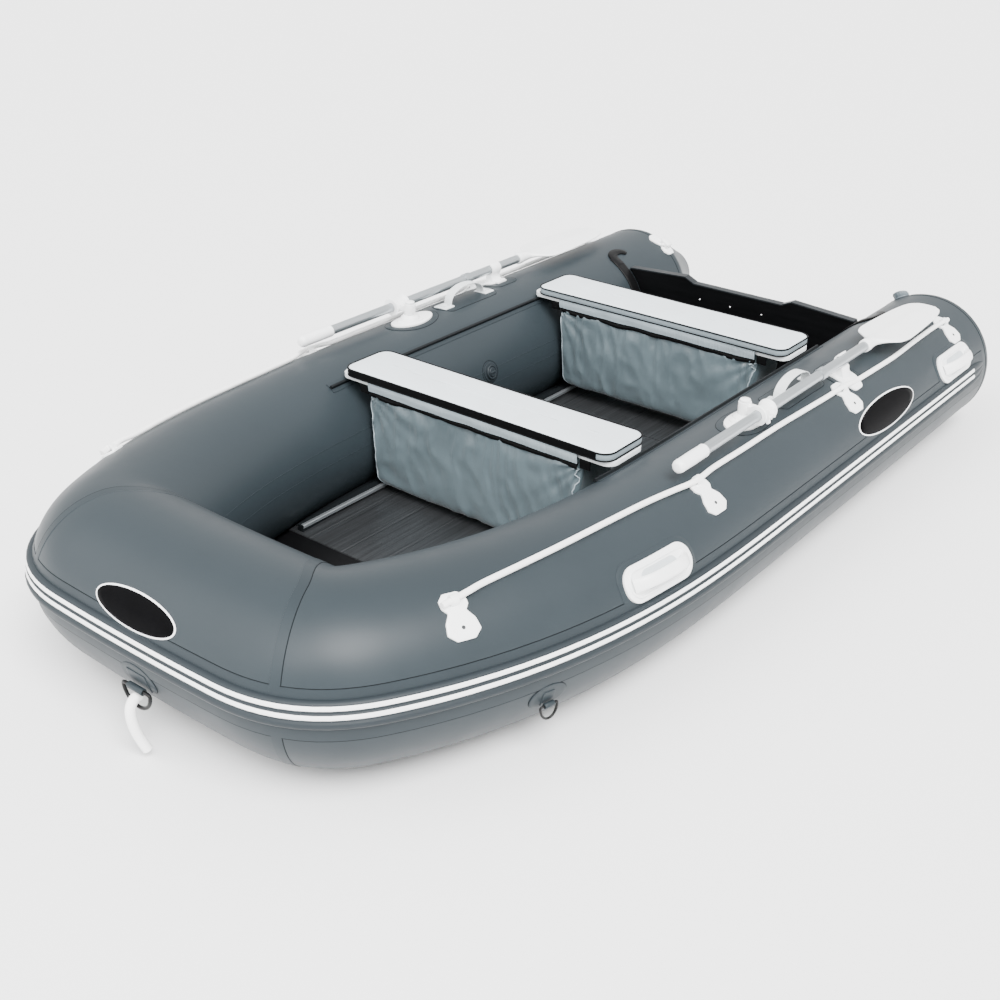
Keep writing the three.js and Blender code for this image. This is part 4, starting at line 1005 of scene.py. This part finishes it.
def bag(y0, zbot, seed):
    T = 399.0
    levels = [T, T - 6, T - 14, T - 22, T - 27, T - 31, T - 34, T - 38, T - 46]
    z = T - 56
    while z > zbot + 40:
        levels.append(z)
        z -= 9.0
    for k in (36, 28, 21, 15, 10, 6, 3, 1, 0):
        levels.append(zbot + k)
    yc = y0 + (9 + BW - 11) / 2
    hd = (BW - 20) / 2
    rings = []
    for z in levels:
        h = z - zbot
        e = 1 - math.sqrt(max(0, 1 - (1 - min(h, 36) / 36.0) ** 2)) if h < 36 else 0
        a = 350 - 34 * e + 13 * min(1.0, max(0.0, (z - 235) / 110.0)) ** 1.3
        b = hd - 20 * e
        t = (T - z) / (T - zbot)
        b = b - 7 + 9 * math.sin(math.pi * min(1, max(0, (T - 20 - z)) / (T - 20 - zbot))) ** 0.7 if z < T - 20 else b - 8
        a = a - 4 + 4 * math.sin(math.pi * t)
        o = densify_fixed(round_rect(2 * a, 2 * b, 16, 10), 150)
        x, y = o[:, 0], o[:, 1]
        d = np.zeros(len(o))
        front = np.abs(y) > b - 2
        if z < T - 20:
            # gathers that hang from the zip and fade downwards, tension creases from the corners
            fade = np.exp(-((T - 22 - z) / 90.0))
            x2_ = x + 14 * vnoise(x / 120.0, np.full(len(x), z / 70.0), seed + 1)
            d += 3.2 * fade * vnoise(x2_ / 17.0, np.full(len(x), z / 160.0), seed)
            # crisp hanging folds, strongest under the zip and at the ends
            endk = 0.55 + 0.75 * np.exp(-(a - np.abs(x)) / 90.0)
            d += 5.4 * endk * np.exp(-((T - 22 - z) / 170.0)) * (1 - 2.3 * np.abs(vnoise(x2_ / 27.0, np.full(len(x), z / 260.0), seed + 21)))
            d += 2.4 * (1 - 2.6 * np.abs(vnoise((x2_ + 0.35 * z) / 44.0, np.full(len(x), z / 75.0), seed + 22)))
            d += 3.0 * vnoise(x2_ / 62.0, np.full(len(x), z / 190.0), seed + 2) * (0.45 + 0.55 * math.sin(math.pi * min(1, t)))
            for cxn, sgn in ((-a, 1), (a, -1)):
                u = (x - cxn) * sgn
                ang = np.arctan2(np.full(len(x), T - 20 - z), np.maximum(u, 1))
                rad = np.hypot(u, T - 20 - z)
                d += 3.4 * np.cos(ang * 15 + seed) * np.exp(-rad / 120.0) * (u > 0)
                d += 2.4 * np.cos((u * 0.55 + (z - zbot)) / 15.0 + seed) * np.exp(-np.hypot(u, z - zbot) / 95.0) * (u > 0)
            d += 1.1 * vnoise(x / 21.0, np.full(len(x), z / 23.0), seed + 4)
        else:
            d += 0.9 * vnoise(x / 26.0, np.full(len(x), z / 9.0), seed + 5)
        d = np.clip(d, -9, 7.5)
        g = np.sign(y) * front
        xs = x + np.where(~front, np.sign(x) * np.clip(0.8 * d, -4, 3), 0)
        zz = np.full(len(o), float(z))
        if h <= 0.5:
            zz += 0.0
        rings.append(np.stack([xs, y + g * d + yc, zz], -1))
    # bottom closes
    last = rings[-1]
    c = last.mean(0)
    for k in (0.8, 0.5, 0.2):
        q = c + (last - c) * k
        q[:, 2] = zbot - 1.0 - 1.5 * (1 - k) + 0.8 * vnoise(q[:, 0] / 40, q[:, 1] / 40, seed)
        rings.append(q)
    return rings, loft(rings)


def bench(nm, y0, zbot, seed):
    body = "bench_" + nm
    ob = piece("cushion_v_" + nm, cushion(y0), "cushion", body=body, replaces=("cushion_" + nm,), angle=60)
    # the side faces below the top take the darker copy of the fabric: painted shade on the cushion's sides
    ob.data.materials.append(M["cushside"])
    for pg in ob.data.polygons:
        if abs(pg.normal.z) < 0.55 and pg.center.z * 1000 < BT - 2.5:
            pg.material_index = 1
    piece("piping_top_" + nm, path_tube(edge_path(y0, 0.6, BT - 1.8), 4.8, 10, closed=True), "piping", body=body)
    piece("piping_low_" + nm, path_tube(edge_path(y0, 0.4, BT - CT + 2.6), 4.2, 10, closed=True), "piping", body=body)
    # side band
    P = edge_path(y0, 0, 0)
    rings = []
    yc = y0 + BW / 2
    if nm == "front":
        sel = [p for p in P if p[1] < yc - 40 and p[0] < 418]
        cor = [p for p in P if p[0] < -440 and p[1] < yc + 60 and p[1] >= yc - 40]
        pts = sorted(sel, key=lambda p: (p[0], -p[1]))
        pts = np.array([p for p in pts])
        outv = np.array([(-1.0, -0.2, 0) if p[0] < -447 else (0, -1.0, 0) for p in pts])
        for p, o in zip(pts, outv):
            q = np.array([p[0], p[1], 0])
            rings.append(np.array([q + o * -1.2 + [0, 0, BT - 4], q + o * 0.9 + [0, 0, BT - 4], q + o * 1.3 + [0, 0, BT - CT / 2], q + o * 0.9 + [0, 0, BT - CT + 4], q + o * -1.2 + [0, 0, BT - CT + 4]]))
        piece("side_band_" + nm, loft(rings), "piping", body=body)
    # board under the cushion
    o = round_rect(926, 152, 30, 10)
    V, F = plate(o, 401.5, 414.5, 1.6, step=14)
    piece("board_v_" + nm, (V + np.array([-9, yc, 0]), F), "board", body=body, replaces=("bench_board_" + nm,), angle=50)
    # cloth flap that hangs from the cushion's lower seam over the zip, gathered
    for face, sg in (("fore", -1), ("aft", 1)):
        xs = np.linspace(-356, 356, 300)
        rg = []
        for x in xs:
            e_ = 0.35 + 0.65 * min(1.0, max(0.0, (x + 120) / 260.0))
            rip = e_ * (0.9 * math.sin(x / 1.55) + 0.8 * float(vnoise(x / 5.0, 1.0, seed + 31))) + 1.6 * float(vnoise(x / 46.0, 2.0, seed + 32))
            yb = yc + sg * (BW / 2 - 2.6)
            zl = 388.0 + 1.6 * float(vnoise(x / 60.0, 3.0, seed + 33))
            out_ = [(x, yb, 415.5), (x, yb + sg * 0.4 + sg * 0.35 * rip, 407), (x, yb + sg * 0.2 + sg * 0.7 * rip, 401), (x, yb - sg * 1.0 + sg * 0.8 * rip, 395), (x, yb - sg * 2.0 + sg * 0.6 * rip, zl)]
            in_ = [(x, q[1] - sg * 1.6, q[2]) for q in reversed(out_)]
            rg.append(np.array(out_ + in_))
        piece("flap_%s_%s" % (nm, face), loft(rg), "bagtrim", body=body, angle=60)
    # bag
    rings, shell = bag(y0, zbot, seed)
    ob = piece("bag_v_" + nm, shell, "bag", body=body, replaces=("bag_" + nm,), angle=70)
    # zip tape on both faces
    T = 399.0
    R_ = np.array(rings)
    lev = np.array([r[:, 2].mean() for r in rings])
    for face, sg in (("fore", -1), ("aft", 1)):
        xs = np.linspace(-352, 352, 160)
        zw = T - 21 + 3.2 * vnoise(xs / 70.0, xs * 0 + 1, seed + 11) + 1.3 * vnoise(xs / 24.0, xs * 0 + 4, seed + 12)
        yc2 = y0 + (9 + BW - 11) / 2
        hd = (BW - 20) / 2
        yy = yc2 + sg * (hd - 5.0 + 1.0 * vnoise(xs / 30.0, xs * 0, seed + 13))
        rings_z = []
        for x, z, y in zip(xs, zw, yy):
            rings_z.append(np.array([(x, y - sg * 6, z + 8.2), (x, y + sg * 3.4, z + 8.0), (x, y + sg * 5.0, z + 2.0), (x, y + sg * 5.8, z), (x, y + sg * 5.0, z - 2.0), (x, y + sg * 3.4, z - 8.0), (x, y - sg * 6, z - 8.2)]))
        piece("zip_%s_%s" % (nm, face), loft(rings_z), "zip", body=body)
    # side piping where the ends are sewn on
    for gx in (-1, 1):
        for face, sg in (("fore", -1), ("aft", 1)):
            pts = []
            for r, z in zip(rings[:-4], lev[:-4]):
                if z > T - 27:
                    continue
                k = np.argmax(gx * r[:, 0] * 0.7 + sg * (r[:, 1] - r[:, 1].mean()) * 1.0 + 0.0)
                pts.append(r[k])
            if len(pts) > 4:
                piece("bag_seam_%s_%s_%s" % (nm, face, "p" if gx > 0 else "s"), path_tube(np.array(pts), 3.2, 8), "bagtrim", body=body)
    # rail clips under the board ends; the plate and hanging strips that widen them are black pieces that also paint the
    # shade beneath the cushion ends
    for gx, sd in ((1, "p"), (-1, "s")):
        x0, x1 = sorted((gx * 405, gx * 427))
        parts = [rbox(x0, x1, y0 + 24, y0 + 44, 392, 399.4, 1.5), rbox(x0, x1, y0 + BW - 50, y0 + BW - 30, 392, 399.4, 1.5),
                 rbox(*sorted((gx * 366, gx * 404)), y0 + 20, y0 + BW - 26, 396.5, 401.2, 1.5),
                 rbox(*sorted((gx * 361, gx * 392)), y0 + 9, y0 + 13, 376, 401.2, 1.2), rbox(*sorted((gx * 361, gx * 392)), y0 + BW - 13, y0 + BW - 9, 376, 401.2, 1.2)]
        piece("rail_clip_%s_%s" % (nm, sd), join(*parts), "black", body=body)


bench("front", 0.0, 97.0, 3)
bench("rear", 897.0, 118.0, 17)

# ---- oars ---------------------------------------------------------------------------
OX, OZ = 634.0, 461.0


def along(profile, seg=40):
    V, F = lathe(profile, seg)
    return np.stack([V[:, 0] + OX, V[:, 2], V[:, 1] + OZ], -1), F


def fixed(p):
    return p[0], outward(p[0], p[1])


shaft = fixed(along([(0, 139.4), (14, 139.4), (14, 743), (14.2, 744.5), (14, 746), (14, 1048.6), (0, 1048.6)], 40))
pair("oar_tube", shaft, "alu", replaces=("oar_shaft",), bodies=OARS)
sleeve = fixed(along([(14.1, 746), (16.4, 746.4), (17, 748), (17, 776), (16.4, 777.6), (14.1, 778)], 40))
rings = []
# sleeve as a closed ring
q = np.arange(40) * 2 * math.pi / 40
for r, y in ((14.1, 746), (16.4, 746.3), (17, 748), (17, 776), (16.4, 777.7), (14.1, 778)):
    rings.append(np.stack([OX + r * np.cos(q), np.full(40, y), OZ + r * np.sin(q)], -1))
pair("oar_sleeve", loft(rings, closed=True), "alu", bodies=OARS)
btn = join(rbox(OX - 3, OX + 3, 756, 768, OZ + 15.5, OZ + 18.6, 1.2), rbox(OX - 2, OX + 2, 724, 730, OZ + 13, OZ + 15.4, 0.8))
pair("oar_button", btn, "alu", bodies=OARS)
gp = [(0, 15), (8, 15), (12.5, 16.5), (15.5, 20), (17, 26), (17.4, 32)]
for y in range(36, 132, 6):
    gp += [(16.4 + 0.6 * math.sin((y - 30) / 100 * math.pi), y), (16.9 + 0.6 * math.sin((y - 30) / 100 * math.pi), y + 3)]
gp += [(17.2, 133), (17.4, 136), (16.4, 138.6), (14, 139), (0, 139)]
pair("oar_grip_v", fixed(along(gp, 40)), "white", replaces=("oar_grip",), bodies=OARS)
yk = [1049, 1078, 1100, 1140, 1180, 1300, 1420, 1462, 1482]
wk = [17, 17, 32, 70, 77, 72, 60, 48, 28]
tk = [17, 15, 9, 5, 4.5, 4, 4, 3.5, 3]
ys = np.concatenate([np.linspace(1049, 1200, 34), np.linspace(1206, 1482, 48)])
W, Tt = smooth_pchip(yk, wk, ys), smooth_pchip(yk, tk, ys)
rings = []
for y, a, b in zip(ys, W, Tt):
    n = 48
    q = np.arange(n) * 2 * math.pi / n
    f = np.clip((y - 1090) / 40, 0, 1)
    e = 1.0 - 0.28 * f
    x = a * np.sign(np.cos(q)) * np.abs(np.cos(q)) ** e
    z = b * np.sin(q)
    # moulded spine and raised border
    sp = np.exp(-(x / 7.0) ** 2) * 4.0 * f * np.clip((1440 - y) / 60, 0, 1)
    bd = np.exp(-((a - np.abs(x)) / 4.0) ** 2) * 1.0 * f
    z = z + np.sign(np.sin(q)) * (sp + bd) * (np.abs(np.sin(q)) > 0.05)
    rings.append(np.stack([OX + x, np.full(n, y), OZ + z], -1))
pair("oar_blade_v", loft(rings), "white", replaces=("oar_blade",), bodies=OARS, angle=60)
rings = []
for r, y in ((14.2, 1030), (17.6, 1030.6), (18.6, 1033), (18.6, 1050), (17.6, 1053), (14.2, 1053)):
    rings.append(np.stack([OX + r * np.cos(q := np.arange(40) * 2 * math.pi / 40), np.full(40, y), OZ + r * np.sin(q)], -1))
pair("oar_blade_collar", loft(rings, closed=True), "white", bodies=OARS)

# oarlock base, pin and swivel
PX, PY = 582.0, 430.0
foot = wrap(plate(ellipse(82, 43, 72), 0.3, 6.4, 2.6, step=6, crown=1.0), s_at(PY + 8), 87.6)
foot2 = wrap(plate(ellipse(56, 33, 64), 5.0, 10.0, 3.0, step=6), s_at(PY + 8), 87.6)
pin = lathe([(0, 425.6), (31, 425.6), (30, 431), (28, 436), (24, 439.5), (20.5, 442), (19.4, 444), (8, 444.2), (8, 478), (14, 478), (14.6, 480), (14, 483), (11.5, 484.6), (0, 485)], 48, at=(PX, PY, 0))
pair("oarlock_foot", join(foot, foot2, pin), "white", replaces=("oarlock_base",))
q = np.arange(40) * 2 * math.pi / 40
hub = []
for r, z in ((8.8, 444.8), (16.4, 444.8), (17.2, 446.4), (17.2, 475.6), (16.4, 477.2), (8.8, 477.2)):
    hub.append(np.stack([PX + r * np.cos(q), PY + r * np.sin(q), np.full(40, z)], -1))
col = []
for r, y in ((14.7, PY - 30), (26, PY - 30), (27.3, PY - 28.5), (27.3, PY - 26.4), (25.6, PY - 25), (21.4, PY - 23.6), (20.6, PY - 21), (20.6, PY + 21), (21.4, PY + 23.6), (25.6, PY + 25), (27.3, PY + 26.4), (27.3, PY + 28.5), (26, PY + 30), (14.7, PY + 30)):
    col.append(np.stack([OX + r * np.cos(q), np.full(40, y), OZ + r * np.sin(q)], -1))
arm = rbox(PX + 12, OX - 16, PY - 11.5, PY + 11.5, 450.5, 471.5, 3.0, 4)
# clamp ears with a wing screw on the outboard side
ears = join(rbox(OX + 17, OX + 33, PY - 12, PY - 5, OZ - 9, OZ + 9, 2.4, 3), rbox(OX + 17, OX + 33, PY + 5, PY + 12, OZ - 9, OZ + 9, 2.4, 3))
wing = join(lathe([(0, PY - 20), (5.4, PY - 20), (6, PY - 18), (6, PY + 16), (0, PY + 16)], 24, at=(OX + 26, 0, OZ), axis="y"))
wing = fixed(wing)
wl = []
for sgn in (-1, 1):
    rg = []
    for k in range(15):
        t = k / 14
        rr_ = 6.4 * math.sqrt(max(0.05, 1 - (2 * t - 1) ** 2)) + 1.0
        zc_ = OZ + sgn * (4 + 15 * t)
        nn = 16
        qq = np.arange(nn) * 2 * math.pi / nn
        rg.append(np.stack([OX + 26 + rr_ * np.cos(qq), PY - 17 + 2.6 * np.sin(qq), np.full(nn, zc_)], -1))
    wl.append(loft(rg))
pair("oarlock_swivel_v", join(loft(hub, closed=True), loft(col, closed=True), arm, ears, wing, *wl), "white", replaces=("oarlock_swivel",), bodies=OARS)

# keeper: cradle, foot and outboard tab
tx = float(line(s_at(900))[0])


def skin_z(x, y=900.0, r=0.8):
    t_ = float(line(s_at(y))[0])
    return ZC + math.sqrt(max(0, (R + r) ** 2 - (x - t_) ** 2))


poly = []
for x in np.linspace(660, 592, 18):
    poly.append((x, skin_z(x, r=0.3)))
poly += [(592, skin_z(592) + 4.4), (604, skin_z(604) + 6), (616, skin_z(616) + 7), (620.5, 436)]
for a in np.linspace(225, 108, 16):
    poly.append((OX + 20 * math.cos(math.radians(a)), OZ + 20 * math.sin(math.radians(a))))
for a in np.linspace(108, 262, 22):
    poly.append((OX + 14.9 * math.cos(math.radians(a)), OZ + 14.9 * math.sin(math.radians(a))))
poly += [(640, 443.5), (643.5, 440), (645, 430), (650, skin_z(650) + 7), (656, skin_z(656) + 5.5), (660, skin_z(660) + 4)]
poly = np.array(poly)
cen = poly.mean(0)


def tri_prism(poly, y0, y1, b=1.2):
    # prism along Y with a small chamfer round both faces; the faces are triangulated
    bm = bmesh.new()
    vs = [bm.verts.new((x, y0, z)) for x, z in poly]
    f = bm.faces.new(vs)
    r = bmesh.ops.extrude_face_region(bm, geom=[f])
    for v in r["geom"]:
        if isinstance(v, bmesh.types.BMVert):
            v.co.y = y1
    bmesh.ops.recalc_face_normals(bm, faces=bm.faces[:])
    es = [e for e in bm.edges if abs(e.verts[0].co.y - e.verts[1].co.y) < 1e-6]
    bmesh.ops.bevel(bm, geom=es, offset=b, segments=2, profile=0.5, affect="EDGES")
    bmesh.ops.triangulate(bm, faces=[g for g in bm.faces if len(g.verts) > 4])
    bm.verts.index_update()
    V = np.array([v.co[:] for v in bm.verts])
    F = [tuple(v.index for v in g.verts) for g in bm.faces]
    bm.free()
    return V, outward(V, F)


keep = tri_prism(poly, 877, 921, 1.0)
kfoot = wrap(plate(soften([(-40, 24), (-30, 32), (30, 32), (40, 24), (40, -30), (22, -62), (-22, -62), (-40, -30)], 12, 5), 0.3, 5.0, 2.0, step=6), s_at(899), 73)
pair("keeper_v", join(keep, kfoot), "white", replaces=("oar_keeper",))

# reinforcement patches under the oarlocks, keepers and strap loops
for nm, o, y, phi in (("oarlock", ellipse(104, 60, 72), 436, 88), ("keeper", round_rect(120, 120, 30, 8), 899, 76),
                      ("strap", soften([(-138, 0), (-112, 46), (112, 46), (138, 0), (112, -46), (-112, -46)], 14, 5), 693, 87)):
    pair("patch_" + nm, wrap(plate(o, -0.3, 0.7, 0.4, step=8), s_at(y), phi), "seam")
    pair("patch_edge_" + nm, patch_line(o, s_at(y), phi, 1.8, 1.0), "seamline")
for nm, y, phi in (("bow", -190, 30), ("stern", 1450, 29)):
    o = round_rect(262, 112, 44, 10)
    pair("patch_handle_" + nm, wrap(plate(o, -0.3, 0.7, 0.4, step=8), s_at(y), phi), "tube")

# strap loops
x0, ya, yb, hw, th = 585.0, 613.0, 773.0, 15.0, 1.5
pts = []
for k in range(41):
    a = math.pi * k / 40
    pts.append(((ya + yb) / 2 - (yb - ya) / 2 * math.cos(a), 425.2 + 47 * math.sin(a) ** 0.8 if 0 < k < 40 else 425.2))
pts = [(ya - 34, 424.4), (ya - 22, 424.5), (ya - 10, 424.7), (ya - 3, 424.9)] + pts + [(yb + 3, 424.9), (yb + 10, 424.7), (yb + 22, 424.5), (yb + 34, 424.4)]
rings = []
for i, (y, z) in enumerate(pts):
    p, q_ = pts[max(i - 1, 0)], pts[min(i + 1, len(pts) - 1)]
    d = np.array([q_[0] - p[0], q_[1] - p[1]])
    d = d / np.linalg.norm(d)
    tb = th if 0 < i < len(pts) - 1 else th * 0.6
    sec = [(-hw, -tb * 0.4), (-hw + 1, -tb), (-5, -tb), (5, -tb), (hw - 1, -tb), (hw, -tb * 0.4), (hw, tb * 0.4), (hw - 1, tb), (5, tb), (-5, tb), (-hw + 1, tb), (-hw, tb * 0.4)]
    rings.append(np.array([(x0 + a, y - d[1] * b, z + d[0] * b) for a, b in sec]))
pair("strap_v", loft(rings), "web", replaces=("strap_handle",))
tabs = []
for y in (ya - 19, yb + 19):
    tabs.append(wrap(plate(round_rect(46, 52, 5, 5), 0.6, 2.6, 0.8, step=6), s_at(y), 87))
pair("strap_tab", join(*tabs), "web")
# stitched box on each tab
st_parts = []
for y in (ya - 19, yb + 19):
    o = densify(round_rect(24, 22, 1.5, 2), 4)
    for i in range(0, len(o)):
        a_, b_ = o[i], o[(i + 1) % len(o)]
        mid = (a_ + b_) / 2
        if i % 2 == 0:
            V, F = rbox(-1.3, 1.3, -0.45, 0.45, 4.2, 5.0, 0.3, 2)
            ang = math.atan2(b_[1] - a_[1], b_[0] - a_[0])
            Vr = np.stack([V[:, 0] * math.cos(ang) - V[:, 1] * math.sin(ang) + mid[0], V[:, 0] * math.sin(ang) + V[:, 1] * math.cos(ang) + mid[1], V[:, 2]], -1)
            st_parts.append(wrap((Vr, F), s_at(y), 87))
pair("strap_stitch", join(*st_parts), "edge")

# ---- CAD nodes that stay -------------------------------------------------------------
# the aluminium stringers take the near-black rail material: painted shade and dark reflection; only the lip keeps the
# aluminium colour
KEEP = {"bottom_skin": "skin", "floor_panel_front": "deck", "floor_panel_middle": "deck", "floor_panel_rear": "deck", "floor_bow_board": "ply",
        "floor_stringer_port": "rail", "floor_stringer_starboard": "rail", "transom_board": "ply", "transom_cap": "cap",
        }
for nm, k in KEEP.items():
    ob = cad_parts[nm]
    ob.data.materials.clear()
    ob.data.materials.append(M[k])
    if nm not in ("bottom_skin",):
        bv = ob.modifiers.new("bevel", "BEVEL")
        bv.width = 0.0012 if "board" in nm or "cap" in nm else 0.0008
        bv.segments = 3
        bv.limit_method = "ANGLE"
        bv.angle_limit = math.radians(40)

# ---- stage, light ------------------------------------------------------------------------
fm = bpy.data.meshes.new("ground")
n = 40
gv, gf = [], []
for i in range(n + 1):
    for j in range(n + 1):
        gv.append(((i / n - 0.5) * 40, (j / n - 0.5) * 40, -0.0005))
for i in range(n):
    for j in range(n):
        a = i * (n + 1) + j
        gf.append((a, a + n + 1, a + n + 2, a + 1))
fm.from_pydata(gv, [], gf)
gm = mat("ground_pale", (244, 244, 244), rough=0.85, var=0.004, vscale=1.0, bump=0.02)
fm.materials.append(gm)
ground = bpy.data.objects.new("ground", fm)
bpy.context.scene.collection.objects.link(ground)

w = bpy.data.worlds.new("world") if not bpy.context.scene.world else bpy.context.scene.world
bpy.context.scene.world = w
w.use_nodes = True
bg = w.node_tree.nodes.get("Background") or w.node_tree.nodes.new("ShaderNodeBackground")
bg.inputs[0].default_value = (1.0, 1.0, 1.0, 1)
bg.inputs[1].default_value = 1.7


def area(name, loc, target, size, power, color=(1, 1, 1)):
    ld = bpy.data.lights.new(name, "AREA")
    ld.shape = "RECTANGLE"
    ld.size, ld.size_y = size
    ld.energy = power
    ld.color = color
    ob = bpy.data.objects.new(name, ld)
    bpy.context.scene.collection.objects.link(ob)
    ob.location = loc
    d = Vector(target) - Vector(loc)
    ob.rotation_euler = d.to_track_quat("-Z", "Y").to_euler()
    return ob


def sun(name, direction, energy, angle):
    ld = bpy.data.lights.new(name, "SUN")
    ld.energy = energy
    ld.angle = math.radians(angle)
    ob = bpy.data.objects.new(name, ld)
    bpy.context.scene.collection.objects.link(ob)
    ob.rotation_euler = Vector(direction).to_track_quat("-Z", "Y").to_euler()
    return ob


sun("key", (-0.62, 0.30, -1.0), 7.6, 36)
sun("fill", (0.5, 0.9, -0.8), 2.4, 60)
area("soft", (0.9, -3.6, 2.6), (0.1, -0.6, 0.2), (1.6, 1.6), 60)
